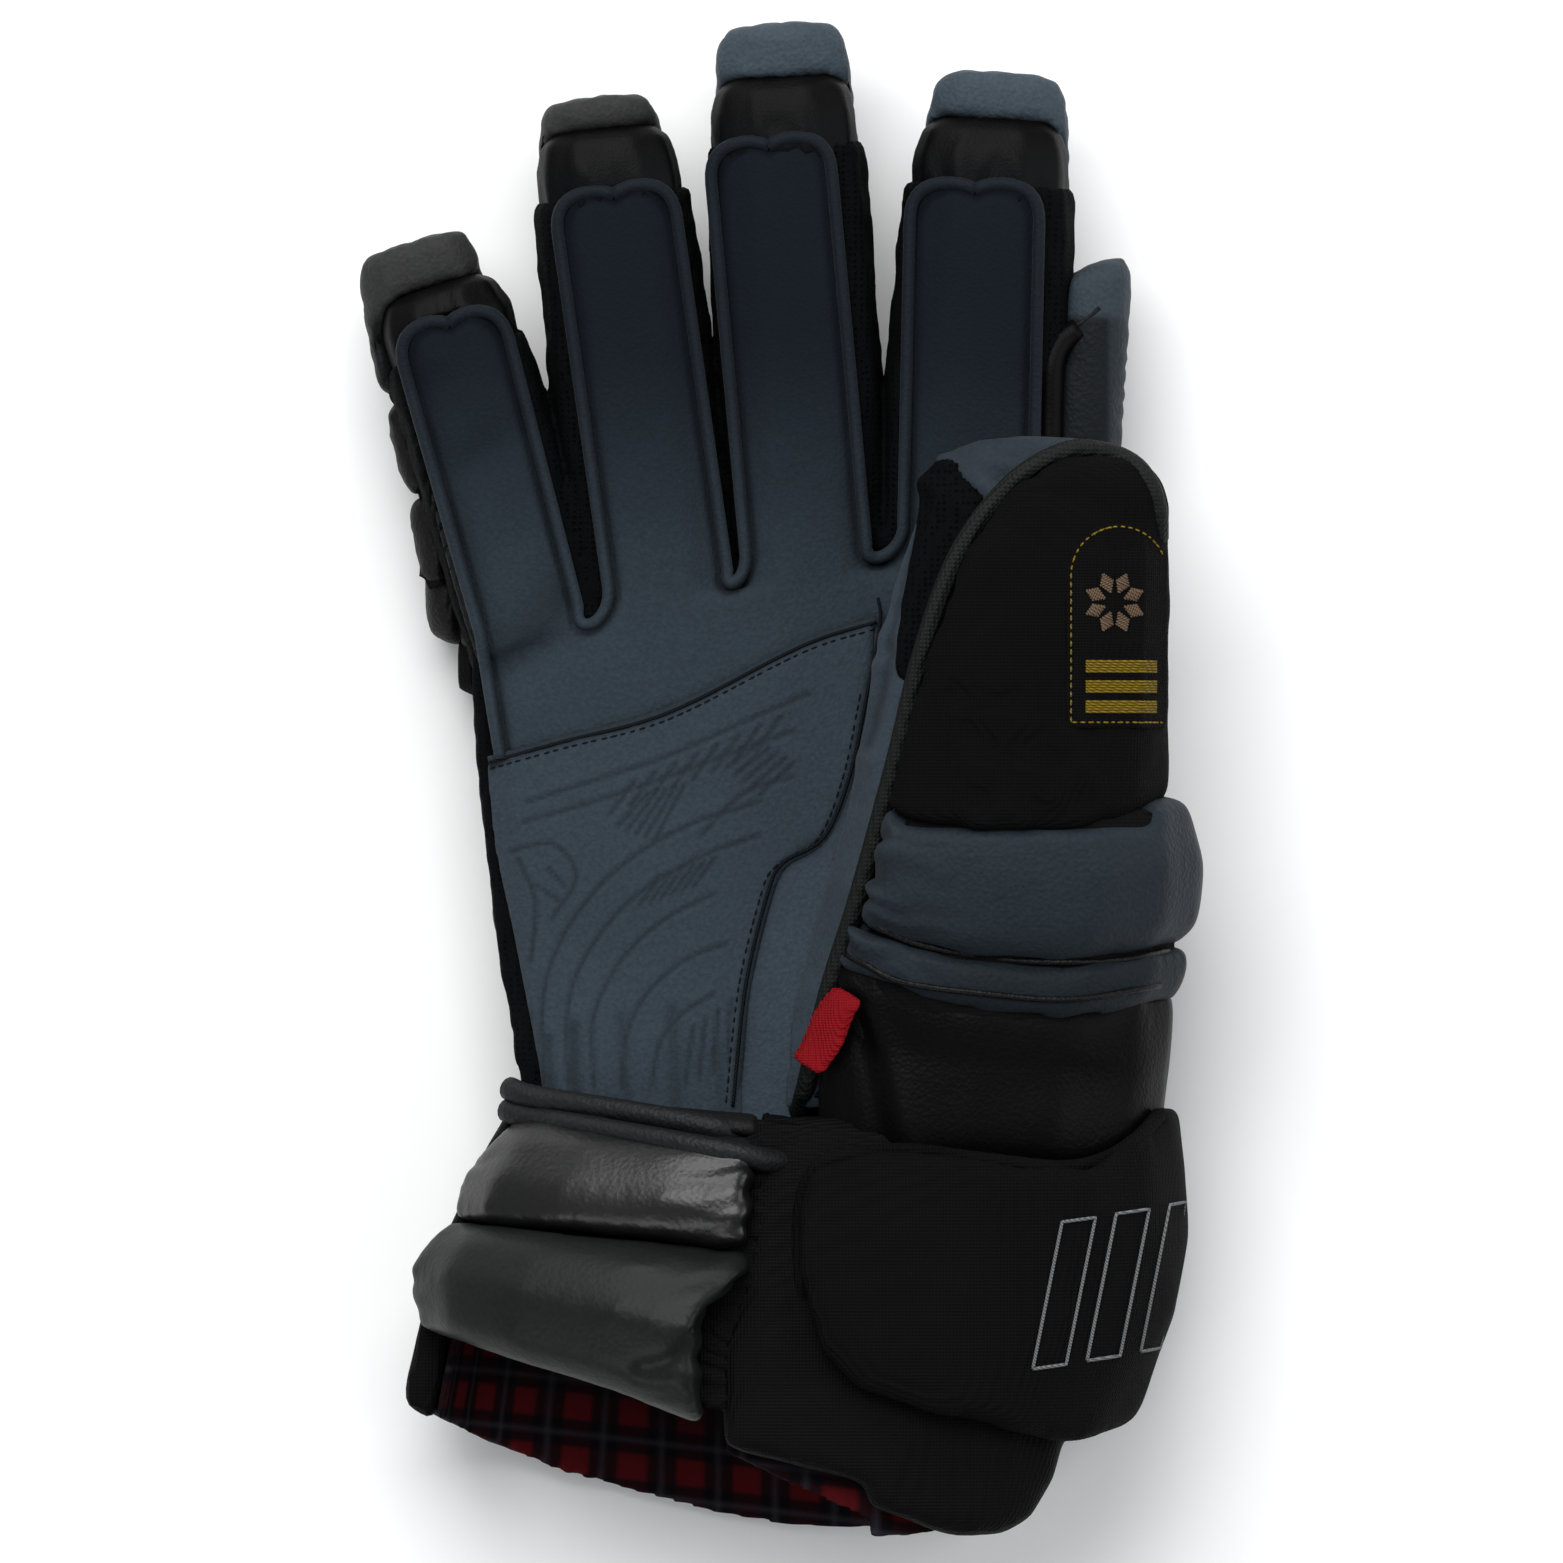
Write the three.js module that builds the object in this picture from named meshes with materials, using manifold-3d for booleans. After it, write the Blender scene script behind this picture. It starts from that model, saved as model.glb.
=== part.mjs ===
// Ice hockey glove for the right hand, lying on its padded back with the palm up.
// Millimetres, +Z up, fingers along +Y and thumb on +X. The origin is on the surface that the glove lies on,
// under the middle of its length and width. The hand, finger and thumb stalls and the cuff are hollow.
import * as THREE from "three";
import { mergeVertices } from "three/addons/utils/BufferGeometryUtils.js";
import Module from "manifold-3d";

const wasm = await Module();
wasm.setup();
const { Manifold } = wasm;

// Driving dimensions.
const GAP = 0.35; // between neighbouring pieces
const SKIN = 2.4; // leather or mesh with its backing
const LEATHER_STEP = 1.0; // the heel's second layer stands this proud of the palm
const FINGER_PAD = 12; // foam on the back of a finger
const TIP_PAD_REACH = 0.45; // how far up the fingertip the outer pad turns, as a share of its depth
const THUMB_PAD = 8; // foam of the thumb's back
const PIPING = 2.2; // radius of the cord sewn into the thumb's edge
const LINING = 1.8;
const PALM_FLOOR = 40; // the palm's leather starts above this height
const CUFF_SPLIT = 44; // height of the seam between the cuff's back and its palm side
const FAR = 300; // reach of the cutting shapes past the glove
const BODY_POWER = 3.4; // squareness of the sections: 2 is an ellipse
const FINGER_POWER = 2.7;
const THUMB_POWER = 2.4;
const CUFF_POWER = 2.6;
const PAD_POWER = 4;

const COLOURS = { slate: 0x39434f, black: 0x101112, capBlack: 0x1c1c1e, red: 0xb01722, plaid: 0x5a1216 };

// Soft tube of each finger: its middle at the knuckle and at the tip, its half widths and the rise of its tip.
const FINGERS = [
  { name: "little", baseX: -58, baseY: 33, tipX: -84, tipY: 118, baseHalf: 18.5, tipHalf: 16.6, rise: 7 },
  { name: "ring", baseX: -29.4, baseY: 33, tipX: -43.6, tipY: 155.5, baseHalf: 20.4, tipHalf: 18.4, rise: 11 },
  { name: "middle", baseX: 7.4, baseY: 33, tipX: -1, tipY: 168, baseHalf: 19.8, tipHalf: 18.8, rise: 12 },
  { name: "index", baseX: 43.2, baseY: 33, tipX: 50, tipY: 158, baseHalf: 24.6, tipHalf: 19.6, rise: 11 },
];
// The palm leather on each finger has its own middle and half width, off the tube's.
const LEATHER = [
  { baseX: -62.4, baseY: 37.7, tipX: -81.1, tipY: 110.6, half: 13.4 },
  { baseX: -28.1, baseY: 47.3, tipX: -41.5, tipY: 141.4, half: 14.7 },
  { baseX: 5, baseY: 55, tipX: -4.1, tipY: 153.1, half: 14.8 },
  { baseX: 43.9, baseY: 61, tipX: 45.6, tipY: 142.6, half: 15.8 },
];
// The padding on each finger's back: how far it sits to the side at the knuckle and at the tip, its half width
// at the tip, and how far it passes the tip.
const PADDING = [
  { name: "little", baseShift: -8.5, shift: -3.2, tipHalf: 14.4, reach: 11.5 },
  { name: "ring", baseShift: -1, shift: -1, tipHalf: 14.2, reach: 7.5 },
  { name: "middle", baseShift: 0, shift: 0.6, tipHalf: 15.8, reach: 12.4 },
  { name: "index", baseShift: 0, shift: 1, tipHalf: 16, reach: 10.8 },
];
// How a finger's tube changes along it: place from knuckle to tip, and shares of its width and depth.
const FINGER_SHAPE = [
  { along: 0, wide: 0.96, deep: 0.99 },
  { along: 0.4, wide: 1, deep: 1 },
  { along: 0.76, wide: 1, deep: 0.97 },
  { along: 0.91, wide: 0.97, deep: 0.88 },
  { along: 0.975, wide: 0.86, deep: 0.7 },
  { along: 1, wide: 0.66, deep: 0.48 },
];
const FINGER_MIDDLE = 32.5; // height of a finger's middle at the knuckle
const FINGER_DEEP = 17.5; // half of its depth there
const FINGER_TIP_DEEP = 14.5;
// A back pad's sections: place after its start or before its end, and shares of its width and depth.
const PAD_SHAPE = [
  { start: 0, wide: 0.86, drop: 0.7 },
  { start: 0.04, wide: 1, drop: 1 },
  { back: 0.04, wide: 1, drop: 1 },
  { back: 0, wide: 0.86, drop: 0.7 },
];
const TIP_PAD_SHAPE = [
  { start: 0, wide: 0.88, drop: 0.7 },
  { start: 0.04, wide: 1, drop: 1 },
  { back: 0.05, wide: 1, drop: 0.8 },
  { back: 0.015, wide: 0.92, drop: 0.6 },
  { back: 0, wide: 0.74, drop: 0.35 },
];
// Places along a finger where its three back pads start and end.
const FINGER_PADS = [
  { name: "inner", from: 0.2, to: 0.47, shape: PAD_SHAPE },
  { name: "middle", from: 0.485, to: 0.735, shape: PAD_SHAPE },
  { name: "tip", from: 0.75, to: 1, shape: TIP_PAD_SHAPE },
];
const CAP_LENGTH = 16; // from the fingertip to the cap's edge at the sides

// Sections from wrist to knuckles or tip: y of the left and right side, side limits, lowest and highest point.
const BODY = [
  { yLeft: -75, yRight: -88, left: -63.6, right: 66, low: 13.5, high: 52.5 },
  { yLeft: -41, yRight: -48, left: -69, right: 66, low: 13.5, high: 50.5 },
  { yLeft: -5, yRight: -5, left: -73.5, right: 66, low: 14, high: 50 },
  { yLeft: 18, yRight: 25, left: -75, right: 67, low: 14.5, high: 50 },
  { yLeft: 36, yRight: 54, left: -75.5, right: 66, low: 15, high: 50 },
];
const THUMB = [
  { yLeft: -78, yRight: -88, left: -5, right: 88, low: 13.5, high: 66 },
  { yLeft: -52, yRight: -52, left: 3, right: 90, low: 13.5, high: 76 },
  { yLeft: -29, yRight: -29, left: 9, right: 89, low: 15, high: 81 },
  { yLeft: -5, yRight: -5, left: 16, right: 84.5, low: 22, high: 84 },
  { yLeft: 14, yRight: 14, left: 19.5, right: 83.5, low: 38, high: 85 },
  { yLeft: 32, yRight: 32, left: 22.5, right: 83.5, low: 52.5, high: 85 },
  { yLeft: 52, yRight: 52, left: 28, right: 83.5, low: 54.5, high: 84 },
  { yLeft: 67, yRight: 67, left: 33, right: 83, low: 57, high: 82 },
  { yLeft: 75.5, yRight: 75.5, left: 36.5, right: 79, low: 61, high: 79 },
  { yLeft: 80, yRight: 80, left: 46, right: 71, low: 66, high: 74 },
];
// lean lifts the thumb side of the upper half and lowers the other; wall is the padding's thickness.
const CUFF = [
  { yLeft: -75.4, yRight: -88.4, left: -64.6, right: 92.5, low: 5, high: 68, lean: 0.42, wall: 3.5 },
  { yLeft: -90, yRight: -99, left: -73.5, right: 93, low: -2.5, high: 74, lean: 0.25, wall: 7 },
  { yLeft: -118, yRight: -128, left: -86, right: 88, low: -3, high: 78, lean: 0.14, wall: 8 },
  { yLeft: -150, yRight: -160, left: -92.6, right: 76, low: -3, high: 80, lean: 0.12, wall: 8 },
  { yLeft: -174, yRight: -205, left: -95, right: 62, low: -3, high: 81, lean: 0.12, wall: 8 },
];
// The lining's sleeve reaches this far up inside the hand before it widens into the cuff.
const LINING_TOP = [
  { yLeft: -64, yRight: -76, left: -59.5, right: 62, low: 17.5, high: 49, lean: 0, wall: 0 },
  { yLeft: -77.5, yRight: -91, left: -59.5, right: 62, low: 17, high: 49.5, lean: 0, wall: 0 },
];

// Plan outlines, x and y.
const PALM_LEFT_EDGE = [[-56, -79], [-60, -58.8], [-64.3, -36.7], [-68.9, -16.3], [-71, 5.8], [-75.6, 34]];
const HEEL_SEAM = [[-110, -4], [-71, 3.5], [-52.8, 8.6], [-35, 13], [-21.8, 18.2], [4.8, 31.7], [22, 37.2],
  [90, 40]];
const LINER_EDGE = [[-120, 21], [40, 21], [90, 24], [125, 29], [150, 33], [190, 38]]; // y and height
const THENAR_SEAM = [[-110, 80], [22.8, 80], [19.9, 20.9], [15.6, 0.5], [9.4, -14.4], [-0.5, -20.6],
  [-4.1, -27.8], [-9.4, -50], [-13.2, -100], [-110, -100]];
const THUMB_PIPING = [[4, -77], [10.3, -51.4], [17.3, -29], [25.9, 2.4], [32.9, 30.7], [41.8, 54.2], [54, 70],
  [66, 77], [75, 76.5]];
// The shell's lower edge on the thumb's outer side, y and height; the piping runs on below it.
const SHELL_EDGE = [[-20, 48], [20, 56], [50, 64], [66, 69], [90, 72]];
const THUMB_MESH = [[28.5, 24], [29, 40], [31.5, 54], [33.5, 64], [34.5, 73], [40, 74], [42, 70], [46.5, 66],
  [44, 56], [38, 42], [34, 26]];
// The thumb leather's outer limit, above and below the tube's middle, along y.
const THUMB_LEATHER = [
  { y: -100, top: 9, side: 9 },
  { y: -78, top: 9, side: 9 },
  { y: -29, top: 22, side: 22 },
  { y: 2, top: 31, side: 31 },
  { y: 12, top: 34, side: 34 },
  { y: 22, top: 37, side: 80 },
  { y: 54, top: 47, side: 82 },
  { y: 70, top: 60, side: 84 },
  { y: 90, top: 100, side: 100 },
];
const WRAP_FLOOR = 34; // the pieces round the thumb's base end at this height
const LINING_PALM_END = -134; // the palm side's lining ends under the lower wrist roll
const CUFF_RIM = [[-140, -130], [-92.4, -150], [-75.6, -159], [-54, -167.5], [-20.4, -176.4], [1.2, -180],
  [51.6, -180], [58.8, -175.5], [63.6, -167], [66, -157], [110, -150]];
const CUFF_SLIT = [[-4, -60], [-9, -108], [-15, -140], [-14, -160], [20, -174], [21, -220]];
const SIDE_PAD = [[7, -91], [18, -88.8], [30, -88.2], [48, -90.3], [75, -94], [88, -94.2], [94.4, -87.5],
  [120, -83], [120, -146], [88, -146], [84, -152], [79, -156.5], [66, -158.8], [34.6, -152.2], [17.3, -145.7],
  [8.2, -136.3], [3.5, -120], [3.2, -102]];

// Rolls that wrap a tube: along the tube, how far each ring stands out to the side and up.
const THUMB_ROLL = [
  { yLeft: -6, yRight: -4.6, side: 6, up: 5 },
  { yLeft: -9, yRight: -7, side: 12, up: 10 },
  { yLeft: -18, yRight: -22, side: 13.5, up: 12 },
  { yLeft: -28, yRight: -37, side: 10.5, up: 9.5 },
  { yLeft: -32.5, yRight: -42.5, side: 6, up: 4.5 },
];
const THUMB_BAND = [
  { yLeft: -33.2, yRight: -43.2, side: 5, up: 4 },
  { yLeft: -35.5, yRight: -45.5, side: 8, up: 7 },
  { yLeft: -41, yRight: -53, side: 6, up: 6.5 },
  { yLeft: -44, yRight: -56.5, side: 2.5, up: 3 },
];
const THUMB_BASE_PANEL = [
  { yLeft: -44.7, yRight: -57.2, side: 2.6, up: 3 },
  { yLeft: -50, yRight: -64, side: 4, up: 5 },
  { yLeft: -77, yRight: -87, side: 3, up: 3.5 },
];
const WRIST_BINDING = [
  { yLeft: -75.8, yRight: -88.8, side: 0.6, up: 1.5 },
  { yLeft: -78, yRight: -91, side: 0.9, up: 4.5 },
  { yLeft: -81, yRight: -94, side: 0.4, up: 3 },
];
const WRIST_ROLL_UPPER = [
  { yLeft: -81.4, yRight: -94.4, side: 0, up: 3 },
  { yLeft: -86, yRight: -98, side: 1.2, up: 9 },
  { yLeft: -96, yRight: -110, side: 2.4, up: 12 },
  { yLeft: -103, yRight: -119, side: 1.8, up: 9 },
  { yLeft: -106, yRight: -123, side: 0.5, up: 3 },
];
const WRIST_ROLL_LOWER = [
  { yLeft: -106.6, yRight: -123.6, side: 0.5, up: 4 },
  { yLeft: -110, yRight: -131, side: 3.4, up: 13 },
  { yLeft: -118.5, yRight: -151, side: 4.6, up: 17 },
  { yLeft: -128, yRight: -176, side: 1.8, up: 12 },
  { yLeft: -131.5, yRight: -185, side: -1, up: 4 },
];
// Rolls across the hand's back: y and thickness at the left and right end, reach of both ends, and height.
const BACK_ROLLS = [
  { name: "knuckle_roll", y: [51, 62], thick: [24, 27], ends: [-86.5, 72], top: 34 },
  { name: "backhand_roll_1", y: [27, 34.5], thick: [23, 26], ends: [-80.5, 77], top: 33 },
  { name: "backhand_roll_2", y: [1, 5.5], thick: [27, 30], ends: [-73.6, 82], top: 32 },
  { name: "backhand_roll_3", y: [-29.5, -29.5], thick: [32, 38], ends: [-70, 88.5], top: 31 },
  { name: "backhand_roll_4", y: [-60.5, -68], thick: [27, 36], ends: [-64.5, 88.5], top: 30 },
];
const ROLL_SHAPE = [
  { share: 0, wide: 0.6, deep: 0.55 },
  { share: 0.05, wide: 0.95, deep: 0.9 },
  { share: 0.5, wide: 1, deep: 1 },
  { share: 0.95, wide: 0.95, deep: 0.9 },
  { share: 1, wide: 0.6, deep: 0.55 },
];
const INDEX_SIDE = {
  middle: 71.7, half: 11.7, yLow: 66, yHigh: 122.4, low: 15, high: 46, slope: 0.22, tilt: 4,
};
const INDEX_SIDE_SHAPE = [
  { share: 0, wide: 0.86 },
  { share: 0.06, wide: 1 },
  { share: 0.95, wide: 1 },
  { share: 1, wide: 0.8 },
];
// The tag's corners in plan, first on the palm's side of the piping.
const SEAM_TAG = {
  palmTop: [7.2, -49.9], palmLow: [2.4, -66], backTop: [16.1, -54], backLow: [11.3, -70], thick: 1.4,
};
// Across the tag: how far it clears the leather, or the thumb tube grown by this much.
const TAG_STATIONS = [
  { share: 0, lift: 0.8, grow: 0 },
  { share: 0.3, lift: 0, grow: 6.4 },
  { share: 0.62, lift: 0, grow: 6.4 },
  { share: 1, lift: 0, grow: 6.4 },
];
const THUMB_PATCH = { x: 79.6, yLow: 11.5, yHigh: 61, half: 13, thick: 0.9 };

const { lerp } = THREE.MathUtils;

// A closed mesh as a solid, with its faces turned out.
function solidOf(geometry) {
  const bare = geometry.index ? geometry.toNonIndexed() : geometry.clone();
  bare.deleteAttribute("normal");
  bare.deleteAttribute("uv");
  const merged = mergeVertices(bare, 1e-4);
  const build = (triVerts) =>
    new Manifold(new wasm.Mesh({ numProp: 3, vertProperties: merged.attributes.position.array, triVerts }));
  const made = build(new Uint32Array(merged.index.array));
  return made.volume() > 0 ? made : build(new Uint32Array(merged.index.array).reverse());
}

// A solid through rings of points, closed at both ends by a fan about the ring's middle.
function loft(rings) {
  const count = rings[0].length;
  const middle = (ring) => ring.reduce((sum, p) => sum.add(p), new THREE.Vector3()).divideScalar(count);
  const points = [...rings.flat(), middle(rings[0]), middle(rings.at(-1))];
  const [start, end] = [points.length - 2, points.length - 1];
  const faces = [];
  for (let i = 0; i < count; i++) {
    const j = (i + 1) % count;
    for (let k = 0; k + 1 < rings.length; k++) {
      const [a, b, c, d] = [k * count + i, k * count + j, (k + 1) * count + j, (k + 1) * count + i];
      faces.push(a, b, c, a, c, d);
    }
    const last = (rings.length - 1) * count;
    faces.push(start, j, i, end, last + i, last + j);
  }
  const geometry = new THREE.BufferGeometry().setFromPoints(points).setIndex(faces);
  return solidOf(geometry);
}

// A rounded section: across and up run from -1 to 1 round the ring, from its side or half a step past it.
function roundRing(count, power, place, turn = 0.5) {
  return Array.from({ length: count }, (_, i) => {
    const angle = (2 * Math.PI * (i + turn)) / count;
    const bend = (v) => Math.sign(v) * Math.abs(v) ** (2 / power);
    return place(bend(Math.cos(angle)), bend(Math.sin(angle)));
  });
}

// One ring of a tube of sections, grown by side and up.
function tubeRing(row, count, power, side, up) {
  const [left, right] = [row.left - side, row.right + side];
  const [low, high] = [row.low - up, row.high + up];
  const lean = row.lean ?? 0;
  return roundRing(count, power, (across, rise) => {
    const x = lerp(left, right, (across + 1) / 2);
    const share = (x - row.left) / (row.right - row.left);
    const lifted = rise > 0 ? rise * (1 + lean * across) : rise;
    return new THREE.Vector3(x, lerp(row.yLeft, row.yRight, share), lerp(low, high, (lifted + 1) / 2));
  });
}

// A tube of sections, grown outwards (or inwards when negative); its two ends move out by start and end.
function tube(rows, count, power, grow, start = 0, end = 0) {
  const way = Math.sign(rows.at(-1).yLeft - rows[0].yLeft);
  const shift = (i) => (i === 0 ? -way * start : i === rows.length - 1 ? way * end : 0);
  const placed = rows.map((row, i) => ({ ...row, yLeft: row.yLeft + shift(i), yRight: row.yRight + shift(i) }));
  const amount = (row) => (typeof grow === "function" ? grow(row) : grow);
  return loft(placed.map((row) => tubeRing(row, count, power, amount(row), amount(row))));
}

// The section of a tube at the height y, worked out between its rows.
function rowAt(rows, y) {
  const order = [...rows].sort((p, q) => p.yLeft - q.yLeft);
  const next = Math.min(Math.max(order.findIndex((row) => row.yLeft > y), 1), order.length - 1);
  const [p, q] = [order[next - 1], order[next]];
  const share = THREE.MathUtils.clamp((y - p.yLeft) / (q.yLeft - p.yLeft), 0, 1);
  return Object.fromEntries(Object.keys(p).map((key) => [key, lerp(p[key], q[key], share)]));
}

// A roll that wraps a tube and clears it by the gap.
function wrapRoll(rows, profile, count, power, share) {
  const rings = profile.map((ring) => {
    const { left, right, low, high, lean } = rowAt(rows, lerp(ring.yLeft, ring.yRight, share));
    const row = { left, right, low, high, lean, yLeft: ring.yLeft, yRight: ring.yRight };
    return tubeRing(row, count, power, ring.side, ring.up);
  });
  return loft(rings);
}

// A flat shape in plan, pulled up from one height to another.
function pulledUp(shape, from, to, curveSegments = 3) {
  const geometry = new THREE.ExtrudeGeometry(shape, { depth: to - from, bevelEnabled: false, curveSegments });
  return solidOf(geometry.translate(0, 0, from));
}

function prism(outline, from = 0, to = FAR) {
  return pulledUp(new THREE.Shape(outline.map(([x, y]) => new THREE.Vector2(x, y))), from, to);
}

// A side profile, y and height, pulled through from left to right.
function sideProfile(points, { along = 0, lift = 0 } = {}) {
  const shape = new THREE.Shape(points.map(([y, z]) => new THREE.Vector2(y, z)));
  const geometry = new THREE.ExtrudeGeometry(shape, { depth: 2 * FAR, bevelEnabled: false });
  return solidOf(geometry.rotateX(Math.PI / 2).rotateZ(Math.PI / 2).translate(-FAR, along, lift));
}

// A clockwise outline, each corner moved out.
function grownOutline(outline, by) {
  return outline.map(([x, y], i) => {
    const [before, after] = [outline.at(i - 1), outline[(i + 1) % outline.length]];
    const way = new THREE.Vector2(after[0] - before[0], after[1] - before[1]).normalize();
    return [x - way.y * by * 1.5, y + way.x * by * 1.5];
  });
}

function box(x0, x1, y0, y1, z0, z1) {
  const geometry = new THREE.BoxGeometry(x1 - x0, y1 - y0, z1 - z0);
  return solidOf(geometry.translate((x0 + x1) / 2, (y0 + y1) / 2, (z0 + z1) / 2));
}

// A round cord along points.
function cord(points, radius, sides, steps) {
  const shape = new THREE.Shape(new THREE.EllipseCurve(0, 0, radius, radius).getPoints(sides).slice(0, -1));
  const extrudePath = new THREE.CatmullRomCurve3(points);
  return solidOf(new THREE.ExtrudeGeometry(shape, { steps, bevelEnabled: false, extrudePath }));
}

// The crumbs that a cut can leave are dropped.
function mainPiece(solid) {
  return solid.decompose().sort((p, q) => q.volume() - p.volume())[0];
}

const glove = new THREE.Group();

function addPiece(name, solid, colour, roughness) {
  const { vertProperties, triVerts } = mainPiece(solid).getMesh();
  const geometry = new THREE.BufferGeometry();
  geometry.setAttribute("position", new THREE.BufferAttribute(vertProperties, 3));
  geometry.setIndex(new THREE.BufferAttribute(triVerts, 1));
  geometry.computeVertexNormals();
  const material = new THREE.MeshStandardMaterial({ color: colour, roughness, metalness: 0 });
  const mesh = new THREE.Mesh(geometry, material);
  mesh.name = name;
  glove.add(mesh);
}

// Fingers.
function fingerFrame(finger) {
  const base = new THREE.Vector2(finger.baseX, finger.baseY);
  const reach = new THREE.Vector2(finger.tipX, finger.tipY).sub(base);
  const along = reach.clone().normalize();
  const at = (share, sideways = 0, height = 0) =>
    new THREE.Vector3(
      base.x + reach.x * share + along.y * sideways,
      base.y + reach.y * share - along.x * sideways,
      height,
    );
  const middle = (share) => FINGER_MIDDLE + finger.rise * share ** 2;
  const half = (share) => lerp(finger.baseHalf, finger.tipHalf, share);
  const deep = (share) => lerp(FINGER_DEEP, FINGER_TIP_DEEP, share ** 2);
  return { at, middle, half, deep, length: reach.length() };
}

function fingerTube(finger, grow) {
  const { at, middle, half, deep, length } = fingerFrame(finger);
  return loft(
    FINGER_SHAPE.map(({ along, wide, deep: share }) => {
      const moved = along + (along === 1 ? grow : along === 0 ? -grow : 0) / length;
      const [across, up] = [half(along) * wide + grow, deep(along) * share + grow];
      return roundRing(10, FINGER_POWER, (x, z) => at(moved, x * across, middle(along) + z * up), 0);
    }),
  );
}

// The palm leather's plan outline: up the little finger's side, round each finger, and down under the thumb.
function leatherOutline() {
  const shape = new THREE.Shape();
  PALM_LEFT_EDGE.forEach(([x, y], i) => (i ? shape.lineTo(x, y) : shape.moveTo(x, y)));
  const corner = 9;
  LEATHER.forEach((panel, i) => {
    const base = new THREE.Vector2(panel.baseX, panel.baseY);
    const tip = new THREE.Vector2(panel.tipX, panel.tipY);
    const along = tip.clone().sub(base).normalize();
    const point = (p, side, back) => [
      p.x + along.y * side * panel.half - along.x * back,
      p.y - along.x * side * panel.half - along.y * back,
    ];
    const inset = 1 - corner / panel.half;
    if (i) shape.quadraticCurveTo(...crotch(i), ...point(base, -1, 0));
    shape.lineTo(...point(tip, -1, corner));
    shape.quadraticCurveTo(...point(tip, -1, 0), ...point(tip, -inset, 0));
    shape.lineTo(...point(tip, inset, 0));
    shape.quadraticCurveTo(...point(tip, 1, 0), ...point(tip, 1, corner));
    shape.lineTo(...point(base, 1, 0));
  });
  [[61, 30], [61, -100], [-50, -100]].forEach(([x, y]) => shape.lineTo(x, y));
  return shape;
}
// The lowest point of the slot between a finger and the one before it.
function crotch(i) {
  const [p, q] = [LEATHER[i - 1], LEATHER[i]];
  return [(p.baseX + q.baseX) / 2, (p.baseY + q.baseY) / 2 - 10];
}

const BODY_COUNT = 14;
const THUMB_COUNT = 14;
const CUFF_COUNT = 18;
const union = (solids) => solids.reduce((sum, solid) => sum.add(solid));
const shifted = (outline, dx, dy) => outline.map(([x, y]) => [x + dx, y + dy]);

// The soft hand: body, finger and thumb tubes, and the hollow inside them.
const bodyTube = (grow, start = 0) => tube(BODY, BODY_COUNT, BODY_POWER, grow, start, Math.min(grow, 0));
const handOuter = (grow) => union([bodyTube(grow), ...FINGERS.map((finger) => fingerTube(finger, grow))]);
const thumbTube = (grow, start = 0) => tube(THUMB, THUMB_COUNT, THUMB_POWER, grow, start, grow);
const cavity = union([
  bodyTube(-SKIN, 20),
  ...FINGERS.map((finger) => fingerTube(finger, -SKIN)),
  thumbTube(-SKIN, 20),
]);
const handSkin = handOuter(0).subtract(cavity);
const thumbSkin = thumbTube(0).subtract(handOuter(GAP)).subtract(cavity);
const softHandGrown = handOuter(GAP).add(thumbTube(GAP));

// Palm leather: fingers and upper palm in one, a heel with its second layer, and the strip beside the thumb.
const palm = pulledUp(leatherOutline(), PALM_FLOOR, FAR);
const belowSeam = (lift) => prism([...shifted(HEEL_SEAM, 0, lift), [90, -FAR], [-110, -FAR]]);
const heelSide = (aside) => prism(shifted(THENAR_SEAM, aside, 0));
const palmSkin = handSkin.intersect(palm);
const heelSkin = bodyTube(LEATHER_STEP).subtract(cavity).subtract(thumbTube(GAP));
const heel = heelSkin.intersect(palm).intersect(belowSeam(0)).intersect(heelSide(0));
addPiece("palm_upper", palmSkin.subtract(belowSeam(GAP)), COLOURS.slate, 0.75);
addPiece("palm_heel", heel, COLOURS.slate, 0.75);
addPiece("palm_thenar", palmSkin.intersect(belowSeam(0)).subtract(heelSide(GAP)), COLOURS.slate, 0.75);

// Back liner: the fabric under the padding, cut off at a height that rises with the fingers.
const linerRegion = (lift) => sideProfile([[-120, -30], ...LINER_EDGE, [190, -30]], { lift });
addPiece("back_liner", handSkin.intersect(linerRegion(0)), COLOURS.black, 0.85);

// Fingertip caps and mesh walls: what is left of the hand's skin, shared out between the fingers.
const walls = handSkin.subtract(pulledUp(leatherOutline(), PALM_FLOOR - GAP, FAR)).subtract(linerRegion(GAP));
function capRegion(finger, back) {
  const { at, half, length } = fingerFrame(finger);
  const from = 1 - (CAP_LENGTH + back) / length;
  const side = half(1) + 1.6;
  const corners = [at(from, -side), at(from, side), at(1.3, side), at(1.3, -side)];
  return prism(corners.map(({ x, y }) => [x, y]));
}
FINGERS.forEach((finger) => {
  addPiece(`tip_cap_${finger.name}`, walls.intersect(capRegion(finger, 0)), COLOURS.capBlack, 0.35);
});
const spines = FINGERS.map((finger) => [-0.25, 1.3].map((share) => {
  const { x, y } = fingerFrame(finger).at(share);
  return [x, y];
}));
const [little, ring, middle, index] = spines;
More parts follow.
